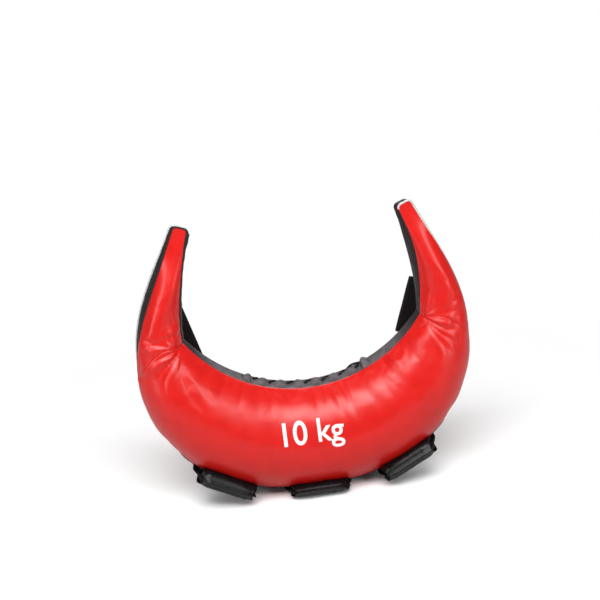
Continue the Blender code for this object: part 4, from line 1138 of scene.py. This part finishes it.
def stitches(name, lines):
    """Short bulging stitches along lines of (point, normal), half sunk in the cloth."""
    points, faces = [], []
    for line in lines:
        walked = 0.0
        next_one = STITCH_PITCH / 2
        for (a, normal), (b, _) in zip(line, line[1:]):
            length = (b - a).length
            while next_one <= walked + length and length > 0:
                centre = a.lerp(b, (next_one - walked) / length)
                way = (b - a).normalized()
                aside = way.cross(normal).normalized()
                start = len(points)
                for run, swell in STITCH_FORM:
                    for side in range(STITCH_SIDES):
                        turn = TURN * side / STITCH_SIDES
                        points.append(centre + way * run * STITCH_LENGTH
                                      + (aside * math.cos(turn) + normal * math.sin(turn))
                                      * STITCH_RADIUS * swell)
                last = len(points) - STITCH_SIDES
                for ring_start in range(start, last, STITCH_SIDES):
                    for side in range(STITCH_SIDES):
                        a_side, b_side = ring_start + side, ring_start + (side + 1) % STITCH_SIDES
                        faces.append((a_side, b_side, STITCH_SIDES + b_side, STITCH_SIDES + a_side))
                faces.append(tuple(reversed(range(start, start + STITCH_SIDES))))
                faces.append(tuple(range(last, last + STITCH_SIDES)))
                next_one += STITCH_PITCH
            walked += length
    mesh = bpy.data.meshes.new(name)
    mesh.from_pydata(points, [], faces)
    remade(mesh)
    mesh.shade_smooth()
    piece = bpy.data.objects.new(name, mesh)
    scene.collection.objects.link(piece)
    return piece


def speckled(name, low, high, edges, roughness, depth, texture, gloss=0.5, **values):
    """A material whose colour and height follow one fine texture."""
    material, tree, shader = principled(name, roughness, Specular_IOR_Level=gloss)
    speck = node(tree, texture, Vector=object_place(tree), **values).outputs[0]
    tree.links.new(ramp(tree, speck, low, high, *edges), shader.inputs["Base Color"])
    bump(tree, shader, speck, depth)
    return material


WEBBING_CLOTH = black_webbing()
BLACK_THREAD = speckled("black_thread", THREAD_DARK, THREAD_BLACK, (0.35, 0.65), 0.6, 0.0001,
                        "ShaderNodeTexNoise", Scale=2600.0, Detail=1.0)
cover_surface = BVHTree.FromPolygons([point for line in ring for point in line], around_cover())
strap = []
edge_lines = ([], [])
for distance in spread(-STRAP_HALF_LENGTH, STRAP_HALF_LENGTH, STRAP_ROWS):
    start, out = under_belly(distance, RAY_START)
    line = []
    for y in spread(-STRAP_HALF_WIDTH, STRAP_HALF_WIDTH, STRAP_COLUMNS):
        point = cover_surface.ray_cast(start + SEAM_Y * y, -out)[0]
        line.append(point + out * (CLEARANCE + WEBBING))
    strap.append(line)
    for edge, sign in zip(edge_lines, (1, -2)):
        edge.append((line[sign] + out * STITCH_RADIUS * 0.2, out))
floor_lift = min(0.0, min(point.z for line in strap for point in line) - CLEARANCE)
strap = [[point - Vector((0, 0, floor_lift)) for point in line] for line in strap]
piece = sheet("belly_webbing", strap, WEBBING, levels=0)
piece.data.materials.append(WEBBING_CLOTH)
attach(piece, "bag")
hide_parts("base_strap")
piece = stitches("belly_webbing_stitches", [line[2:-2] for line in edge_lines])
piece.data.materials.append(BLACK_THREAD)
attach(piece, "bag")


# Handles. Webbing leaves the long strap in two legs that join in a bar, and a sleeve of black
# synthetic leather is sewn shut round a foam core on the bar. The middle one lies pressed flat.
HANDLE_SPACING = 0.158
ROOT_INNER = 0.057
LEG_WIDTH = 0.024
LEG_ROOT_INSET = 0.004
LEG_END_INSET = 0.001
LEG_STEPS = 24
HANDLE_REACH = 0.0605
HANDLE_FLAT = 0.024
BEND_RADIUS = 0.012
GRIP_LENGTH = 0.098
GRIP_HALF_WIDTH = 0.0195
GRIP_FULLNESS = 2.05
GRIP_PUFF = 1.18
GRIP_RISE = 1.24
GRIP_REST = 0.90
GRIP_DRAW = 0.0075                           # how far the ends run in towards the lip
GRIP_LIP = 0.0036
GRIP_LIP_HALF = 0.0010
GRIP_LIP_ROUND = 0.0006
GRIP_SKIN = 0.0014
GRIP_HEM = 0.004
GRIP_ROWS = 44
GRIP_SIDES = 40
GRIP_WRINKLE = 0.0007
GRIP_END_THICK = 0.80
GRIP_END_BROAD = 0.93
GRIP_END_RUN = 0.014
GRIP_GATHER = (1.9, 0.7)                     # strength of the wrinkles at the end and inside
GRIP_GATHER_RUN = 0.020
BAR_HALF_WIDTH = 0.0110
LEATHER_BLACK = (0.0045, 0.0045, 0.005, 1)
LEATHER_DEEP = (0.003, 0.003, 0.0035, 1)
# Of each handle: its place along the strap, the dip and curl of its webbing, half the grip's
# thickness and the seed of its folds. Of each crease: its place, its depth and half its width.
HANDLES = {
    "left": (-HANDLE_SPACING, 0.176418, math.radians(20), 0.0120, 1.3),
    "centre": (0.0, 0.0, 0.267703, 0.0084, 5.2),
    "right": (HANDLE_SPACING, 0.176418, math.radians(20), 0.0120, 8.6),
}
GRIP_CREASES = {
    "left": ((0.62, 0.0019, 0.10), (0.78, 0.0010, 0.05)),
    "centre": ((-0.70, 0.0009, 0.08),),
    "right": ((-0.66, 0.0013, 0.09), (0.80, 0.0008, 0.06)),
}
BLACK_LEATHER = coated("black_leather", LEATHER_DEEP, LEATHER_BLACK, 0.26, 0.00022, 0.04, 0.19)


def webbing_path(reach, dip, curl):
    """Middle of the webbing (y, z) and its direction, a length from the hinge line."""
    bend = BEND_RADIUS * curl
    flat = min(reach, HANDLE_FLAT)
    y, z = -flat * math.cos(dip), -flat * math.sin(dip)
    heading = min(max(reach - HANDLE_FLAT, 0), bend) / BEND_RADIUS - dip
    y -= BEND_RADIUS * (math.sin(heading) + math.sin(dip))
    z += BEND_RADIUS * (math.cos(dip) - math.cos(heading))
    beyond = max(reach - HANDLE_FLAT - bend, 0)
    return y - beyond * math.cos(heading), z + beyond * math.sin(heading), heading


def handle_frame(distance):
    """Frame of a handle: hinge line along X, and Z into the bag."""
    lift = CLEARANCE + WEBBING + CLEARANCE + WEBBING / 2
    ends = [under_belly(foot, lift)[0] for foot in (distance - ROOT_INNER, distance + ROOT_INNER)]
    along = (ends[1] - ends[0]).normalized()
    place = Matrix((along, SEAM_Y, along.cross(SEAM_Y))).transposed().to_4x4()
    place.translation = (ends[0] + ends[1]) / 2
    return place


def squared_off(value):
    """A sine or cosine, swollen for the full outline of a grip."""
    return math.copysign(abs(value) ** (2 / GRIP_FULLNESS), value)


def grip_outline(wide, thick, lip):
    """Section of a grip as (ahead, over, way round), with the sewn lip at its front."""
    outline = []
    for corner in range(GRIP_SIDES):
        turn = TURN * corner / GRIP_SIDES
        ahead = (wide - lip / 2) * squared_off(math.cos(turn)) - lip / 2
        over = thick * squared_off(math.sin(turn))
        over *= GRIP_RISE if over > 0 else GRIP_REST
        if lip and min(corner, GRIP_SIDES - corner) <= 1:
            near = min(corner, GRIP_SIDES - corner)
            over = (GRIP_LIP_HALF * math.copysign(1, over)) if near else 0
            ahead = wide - (GRIP_LIP_ROUND if near else 0)
        outline.append((ahead, over, turn))
    return outline


def grip_rings(name, dip, curl, wide, thick, lip, ends, seed, wrinkle):
    """Rings of points along a grip: a pillow that pinches and puckers where it is hemmed."""
    y, z, heading = webbing_path(HANDLE_REACH, dip, curl)
    rings = []
    for along in spread(-ends, ends, GRIP_ROWS):
        from_end = (1 - abs(along)) * GRIP_LENGTH / 2
        full = blend(GRIP_END_THICK, 1.0, smooth(from_end / GRIP_END_RUN))
        broad = blend(GRIP_END_BROAD, 1.0, smooth(from_end / GRIP_END_RUN))
        gathered = blend(*GRIP_GATHER, smooth(from_end / GRIP_GATHER_RUN))
        drawn_in = GRIP_DRAW * smooth(abs(along) * 1.2 - 0.2) * math.copysign(1, along)
        around = []
        for ahead, over, turn in grip_outline(wide, thick, lip):
            folds = wavy(along * 7, math.cos(turn) * 1.6 + seed, math.sin(turn) * 1.6)
            folds += 0.5 * wavy(along * 19, turn * 0.8, seed)
            radial = 1 + wrinkle * gathered * folds / thick
            on_top = 0.35 + 0.65 * max(math.sin(turn), 0)
            for place, depth, half in GRIP_CREASES.get(name, ()) if wrinkle else ():
                bent = (along - place - 0.06 * math.sin(turn * 2 + seed)) / half
                radial -= depth / thick * math.exp(-bent ** 2) * on_top
            dx, dy = ahead * broad, over * full * radial
            x = along * GRIP_LENGTH / 2 - drawn_in * smooth(0.25 + 0.75 * ahead / wide)
            around.append(Vector((x, y - dx * math.cos(heading) + dy * math.sin(heading),
                                  z + dx * math.sin(heading) + dy * math.cos(heading))))
        rings.append(around)
    return rings


def placed(rings, place):
    return [[place @ point for point in ring] for ring in rings]


for word, (distance, dip, curl, thickness, seed) in HANDLES.items():
    place = handle_frame(distance)
    body = f"handle_{word}"
    end = HANDLE_REACH + BAR_HALF_WIDTH * 0.5
    parts = []
    for sign in (-1, 1):
        frames = []
        for reach in spread(0.0, end, LEG_STEPS):
            y, z, heading = webbing_path(reach, dip, curl)
            share = smooth(max(reach - HANDLE_FLAT, 0) / (end - HANDLE_FLAT))
            x = sign * blend(GRIP_LENGTH / 2 - LEG_ROOT_INSET,
                             GRIP_LENGTH / 2 - LEG_WIDTH / 2 - LEG_END_INSET, share)
            over = Vector((0, math.sin(heading), math.cos(heading)))
            frames.append((place @ Vector((x, y, z)), place.to_3x3() @ Vector((1, 0, 0)),
                           place.to_3x3() @ over))
        parts.append(sweep(f"handle_leg_{word}", frames, strap_outline(LEG_WIDTH / 2, WEBBING)))
    bar = []
    for along in spread(-GRIP_LENGTH / 2, GRIP_LENGTH / 2, 10):
        y, z, heading = webbing_path(HANDLE_REACH, dip, curl)
        ahead = Vector((0, -math.cos(heading), math.sin(heading)))
        over = Vector((0, math.sin(heading), math.cos(heading)))
        bar.append((place @ Vector((along, y, z)), place.to_3x3() @ ahead, place.to_3x3() @ over))
    parts.append(sweep(f"handle_bar_{word}", bar, strap_outline(BAR_HALF_WIDTH, WEBBING)))
    bpy.ops.object.select_all(action="DESELECT")
    for part in parts:
        part.select_set(True)
    bpy.context.view_layer.objects.active = parts[0]
    bpy.ops.object.join()
    piece = parts[0]
    piece.name = f"handle_straps_{word}"
    piece.data.materials.clear()
    piece.data.materials.append(WEBBING_CLOTH)
    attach(piece, body)
    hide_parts(f"handle_webbing_{word}")

    rings = grip_rings(word, dip, curl, GRIP_HALF_WIDTH, thickness * GRIP_PUFF, GRIP_LIP, 1.0, seed,
                       GRIP_WRINKLE)
    rings = placed(rings, place)
    piece = sheet(f"grip_cover_{word}", [around + around[:1] for around in rings], wrap=True)
    wall = piece.modifiers.new("thickness", "SOLIDIFY")
    wall.thickness = GRIP_SKIN
    wall.offset = -1
    applied(piece)
    piece.data.materials.append(BLACK_LEATHER)
    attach(piece, body)
    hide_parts(f"grip_sleeve_{word}")

    lines = []
    for turn_place in (2, GRIP_SIDES - 2):
        line = []
        for around in rings[2:-2]:
            edge, lip = around[turn_place], around[0]
            normal = (edge - (around[2] + around[GRIP_SIDES - 2]) / 2).normalized()
            line.append((edge.lerp(lip, 0.45), normal))
        lines.append(line)
    piece = stitches(f"grip_stitches_{word}", lines)
    piece.data.materials.append(BLACK_THREAD)
    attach(piece, body)


# Grip cores. A block of black foam with rounded ends fills each sleeve round the webbing.
FOAM_INSET = GRIP_SKIN + CLEARANCE
CORE_ROUNDING = (0.12, 0.35, 0.9)
FOAM_BLACK = (0.030, 0.030, 0.031, 1)
FOAM_DARK = (0.012, 0.012, 0.012, 1)
FOAM = speckled("grip_foam", FOAM_DARK, FOAM_BLACK, (0.1, 0.6), 0.9, 0.0004,
                "ShaderNodeTexVoronoi", gloss=0.2, Scale=1100.0)
for word, (distance, dip, curl, thickness, seed) in HANDLES.items():
    place = handle_frame(distance)
    hem = 1 - 2 * GRIP_HEM / GRIP_LENGTH
    rings = grip_rings(word, dip, curl, GRIP_HALF_WIDTH - GRIP_LIP * 0.8 - FOAM_INSET,
                       (thickness - FOAM_INSET) * 0.94, 0, hem, seed, 0)
    rings = placed(rings, place)
    first = sum(rings[0], Vector()) / GRIP_SIDES
    last = sum(rings[-1], Vector()) / GRIP_SIDES
    rings = ([[point.lerp(first, share) for point in rings[0]] for share in reversed(CORE_ROUNDING)]
             + rings[1:-1]
             + [[point.lerp(last, share) for point in rings[-1]] for share in CORE_ROUNDING])
    piece = sheet(f"grip_core_{word}", [around + around[:1] for around in rings], levels=0,
                  wrap=True, capped=True)
    piece.data.materials.append(FOAM)
    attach(piece, f"handle_{word}")
    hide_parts(f"grip_foam_{word}")


# Hand straps. On the back of each horn a piece of wide webbing is sewn down with a crossed box
# of stitches, and its free end hangs as a flattened loop that leans on the bag.
STRAP_TOP = Vector((0.213632, 0, 0.314242))
STRAP_HINGE_DEPTH = 0.04283
STRAP_LEAN = 0.231474
LOOP_TILT = 0.244282
HAND_STRAP_HALF_WIDTH = 0.025
HAND_STRAP_DROP = 0.106
HAND_STRAP_PATCH = 0.042
HAND_STRAP_ROW_SHARE = 0.28
HAND_STRAP_ACROSS_SHARE = 0.71
PATCH_EDGES = (0.0158, 0.0118)               # reach towards the horn's inner edge, bottom and top
PATCH_LIFT = 0.0007
PATCH_ROWS = 24
PATCH_COLUMNS = 16
PLY_GAP = 0.0030
LOOP_HALF = WEBBING + PLY_GAP / 2
LOOP_ROWS = 40
LOOP_WAVE = 0.0012
BEND_STEPS = 9
BEND_TURNS = [math.pi * step / BEND_STEPS for step in range(1, BEND_STEPS)]
BOX_INSET = 0.0035
BOX_STEPS = 16
CROSSED_BOX = ((0, 1), (1, 2), (2, 3), (3, 0), (0, 2), (1, 3))     # corners that are joined
BEHIND = 0.2                                 # clear of the bag, where rays start
ACROSS = Vector((math.cos(STRAP_LEAN), 0, -math.sin(STRAP_LEAN)))
DOWN = Vector((-math.sin(STRAP_LEAN), 0, -math.cos(STRAP_LEAN)))


def on_horn(up, over, sign):
    """Point on the back of a horn and its normal, a height above the hinge and a way across."""
    t = 1 + HAND_STRAP_ROW_SHARE + up / HORN_LINE.length
    spot = outer_seam(t).lerp(inner_seam(t), HAND_STRAP_ACROSS_SHARE) + ACROSS * over
    spot = mirrored(spot, sign)
    point, normal = cover_surface.ray_cast(Vector((spot.x, BEHIND, spot.z)), -SEAM_Y)[:2]
    if point is None:
        point, normal = cover_surface.find_nearest(Vector((spot.x, STRAP_HINGE_DEPTH, spot.z)))[:2]
    normal = normal if normal.y > 0 else -normal
    return point, normal


for hand, sign in (("left", -1), ("right", 1)):
    patch = []
    for up in spread(-LOOP_HALF, HAND_STRAP_PATCH, PATCH_ROWS):
        low = blend(PATCH_EDGES[0], PATCH_EDGES[1], max(up, 0) / HAND_STRAP_PATCH)
        line = []
        for over in spread(-low, HAND_STRAP_HALF_WIDTH, PATCH_COLUMNS):
            point, normal = on_horn(up, over, sign)
            line.append(point + normal * (PATCH_LIFT + WEBBING))
        patch.append(line)
    piece = sheet(f"hand_strap_sewn_end_{hand}", patch, WEBBING * 0.95, levels=1)
    piece.data.materials.append(WEBBING_CLOTH)
    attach(piece, "bag")
    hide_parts(f"hand_strap_patch_{hand}")

    low_up, high_up = LOOP_HALF + CLEARANCE + BOX_INSET, HAND_STRAP_PATCH - BOX_INSET
    left_over, right_over = -PATCH_EDGES[1] + BOX_INSET, HAND_STRAP_HALF_WIDTH - BOX_INSET
    corners = [(low_up, left_over), (high_up, left_over), (high_up, right_over),
               (low_up, right_over)]
    lines = []
    for a, b in CROSSED_BOX:
        line = []
        for share in spread(0, 1, BOX_STEPS):
            up = blend(corners[a][0], corners[b][0], share)
            over = blend(corners[a][1], corners[b][1], share)
            point, normal = on_horn(up, over, sign)
            line.append((point + normal * (PATCH_LIFT + WEBBING + STITCH_RADIUS * 0.3), normal))
        lines.append(line)
    piece = stitches(f"hand_strap_cross_stitches_{hand}", lines)
    piece.data.materials.append(BLACK_THREAD)
    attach(piece, "bag")

    across_way = mirrored(ACROSS, sign) * sign
    place = Matrix((across_way, SEAM_Y, -mirrored(DOWN, sign))).transposed().to_4x4()
    place.translation = mirrored(STRAP_TOP, sign) + SEAM_Y * STRAP_HINGE_DEPTH
    place = place @ Matrix.Rotation(LOOP_TILT, 4, "X")
    half = LOOP_HALF - WEBBING / 2
    straight = HAND_STRAP_DROP - LOOP_HALF
    path = []
    for share in spread(0, 1, LOOP_ROWS):
        wave = LOOP_WAVE * math.sin(math.pi * share)
        path.append((straight * share, half + wave * (0.6 + 0.4 * math.sin(9 * share))))
    for turn in BEND_TURNS:
        path.append((straight + half * math.sin(turn), half * math.cos(turn)))
    for share in spread(1, 0, LOOP_ROWS):
        path.append((straight * share, -half + LOOP_WAVE * 0.3 * math.sin(math.pi * share)))
    for turn in BEND_TURNS:
        path.append((-half * math.sin(turn), -half * math.cos(turn)))
    frames = []
    for spot, (down, over) in enumerate(path):
        before, after = path[spot - 1], path[(spot + 1) % len(path)]
        way = Vector((0, after[1] - before[1], -(after[0] - before[0]))).normalized()
        normal = Vector((1, 0, 0)).cross(way)
        outwards = Vector((0, over, -(down - straight / 2) * 0.01))
        normal = normal if normal.dot(outwards) > 0 else -normal
        frames.append((place @ Vector((0, over, -down)), place.to_3x3() @ Vector((1, 0, 0)),
                       place.to_3x3() @ normal))
    piece = sweep(f"hand_loop_{hand}", frames, strap_outline(HAND_STRAP_HALF_WIDTH, WEBBING),
                  closed_path=True)
    piece.data.materials.append(WEBBING_CLOTH)
    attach(piece, f"hand_strap_{hand}")
    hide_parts(f"hand_strap_loop_{hand}")


# Weight mark. The weight class is printed on the front in plain white figures, as a thin film
# of ink that follows the cover's folds.
MARK_TEXT = "10 kg"
MARK_MIDDLE = Vector((-0.004, 0, 0.1165))
MARK_WIDTH = 0.098
MARK_STEP = 0.0016
MARK_LIFT = 0.00025
MARK_INK = 0.00018
MARK_BOLD = 0.012
INK = (0.82, 0.80, 0.80, 1)
INK_WORN = (0.74, 0.66, 0.66, 1)

bpy.ops.object.select_all(action="DESELECT")
bpy.ops.object.text_add()
mark = bpy.context.object
mark.name = "weight_mark"
mark.data.body = MARK_TEXT
mark.data.align_x = "CENTER"
mark.data.align_y = "CENTER"
mark.data.offset = MARK_BOLD
bpy.ops.object.convert(target="MESH")
mark = bpy.context.object
corners = [vertex.co for vertex in mark.data.vertices]
low_x, high_x = min(c.x for c in corners), max(c.x for c in corners)
low_y, high_y = min(c.y for c in corners), max(c.y for c in corners)
scale = MARK_WIDTH / (high_x - low_x)
cut = bmesh.new()
cut.from_mesh(mark.data)
for vertex in cut.verts:
    vertex.co = Vector(((vertex.co.x - (low_x + high_x) / 2) * scale + MARK_MIDDLE.x, 0,
                        (vertex.co.y - (low_y + high_y) / 2) * scale + MARK_MIDDLE.z))
bmesh.ops.remove_doubles(cut, verts=cut.verts, dist=WELD)
half_high = (high_y - low_y) * scale / 2
for axis, middle, half in ((Vector((1, 0, 0)), MARK_MIDDLE.x, MARK_WIDTH / 2),
                           (Vector((0, 0, 1)), MARK_MIDDLE.z, half_high)):
    low, high = middle - half, middle + half
    for step in range(1, int((high - low) / MARK_STEP) + 1):
        bmesh.ops.bisect_plane(cut, geom=cut.verts[:] + cut.edges[:] + cut.faces[:],
                               plane_co=axis * (low + step * MARK_STEP), plane_no=axis)
front = cover_pieces["front_belly_leather"].data
front_of_belly = BVHTree.FromPolygons([vertex.co for vertex in front.vertices],
                                      [polygon.vertices for polygon in front.polygons])
for vertex in cut.verts:
    point = front_of_belly.ray_cast(Vector((vertex.co.x, -BEHIND, vertex.co.z)), SEAM_Y)[0]
    vertex.co = point - SEAM_Y * MARK_LIFT
bmesh.ops.recalc_face_normals(cut, faces=cut.faces)
cut.to_mesh(mark.data)
cut.free()
if sum(polygon.normal.y for polygon in mark.data.polygons) > 0:
    mark.data.flip_normals()
film = mark.modifiers.new("ink", "SOLIDIFY")
film.thickness = MARK_INK
film.offset = 1
applied(mark)
mark.data.shade_smooth()
ink = speckled("white_print", INK_WORN, INK, (0.3, 0.5), 0.45, 0.0001, "ShaderNodeTexNoise",
               Scale=420.0, Detail=3.0)
mark.data.materials.clear()
mark.data.materials.append(ink)
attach(mark, "bag")


# Filling. Packed sand and textile in a sack of its own in the belly, and textile in the horns.
# The cover hides all of it, and it follows the cover from a little way inside.
FILL_ROW_STEP = 3
SACK_INSET = 0.0034
SAND_INSET = 0.0060
TEXTILE_INSET = 0.0034
FILL_DEEPEST = 0.6                           # share of the way to the middle
SAND_END = 0.97
SACK_END = 0.985
HORN_FILL_START = 1.01
HORN_FILL_END = 1.90
SAND = (0.42, 0.31, 0.19, 1)
SAND_DARK = (0.25, 0.17, 0.10, 1)
SACK = (0.50, 0.47, 0.42, 1)
SACK_DARK = (0.33, 0.31, 0.27, 1)
LINT = (0.40, 0.40, 0.42, 1)
LINT_DARK = (0.16, 0.17, 0.20, 1)


def grainy(name, low, high, scale, depth):
    return speckled(name, low, high, (0.35, 0.65), 0.95, depth, "ShaderNodeTexNoise", gloss=0.2,
                    Scale=scale, Detail=4.0)


LINT_MATERIAL = grainy("textile_stuffing", LINT_DARK, LINT, 220.0, 0.0020)
FILLINGS = {
    "belly_filling": ("packed_sand", SAND_INSET, -SAND_END, SAND_END,
                      grainy("sand_filling", SAND_DARK, SAND, 900.0, 0.0008), "sand_filling"),
    "filling_sack": ("sack", SACK_INSET, -SACK_END, SACK_END,
                     grainy("sack_cloth", SACK_DARK, SACK, 600.0, 0.0004), "sack_cloth"),
    "horn_stuffing_left": ("textile_left", TEXTILE_INSET, -HORN_FILL_END, -HORN_FILL_START,
                           LINT_MATERIAL, "textile_stuffing"),
    "horn_stuffing_right": ("textile_right", TEXTILE_INSET, HORN_FILL_START, HORN_FILL_END,
                            LINT_MATERIAL, "textile_stuffing"),
}
for name, (label, inset, low_row, high_row, material, slot) in FILLINGS.items():
    kept_lines = [line for row, line in zip(rows, ring) if low_row <= row <= high_row]
    last = [] if len(kept_lines) % FILL_ROW_STEP == 1 else [kept_lines[-1]]
    shrunk = []
    for line in kept_lines[::FILL_ROW_STEP] + last:
        line = line[::2]
        centre = sum(line, Vector()) / len(line)
        shrunk.append([point + way.normalized() * min(inset, way.length * FILL_DEEPEST)
                       for point, way in ((point, centre - point) for point in line)])
    piece = sheet(label, [line + line[:1] for line in shrunk], levels=0, wrap=True, capped=True)
    piece.data.materials.append(material)
    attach(piece, "bag")
    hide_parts(name)
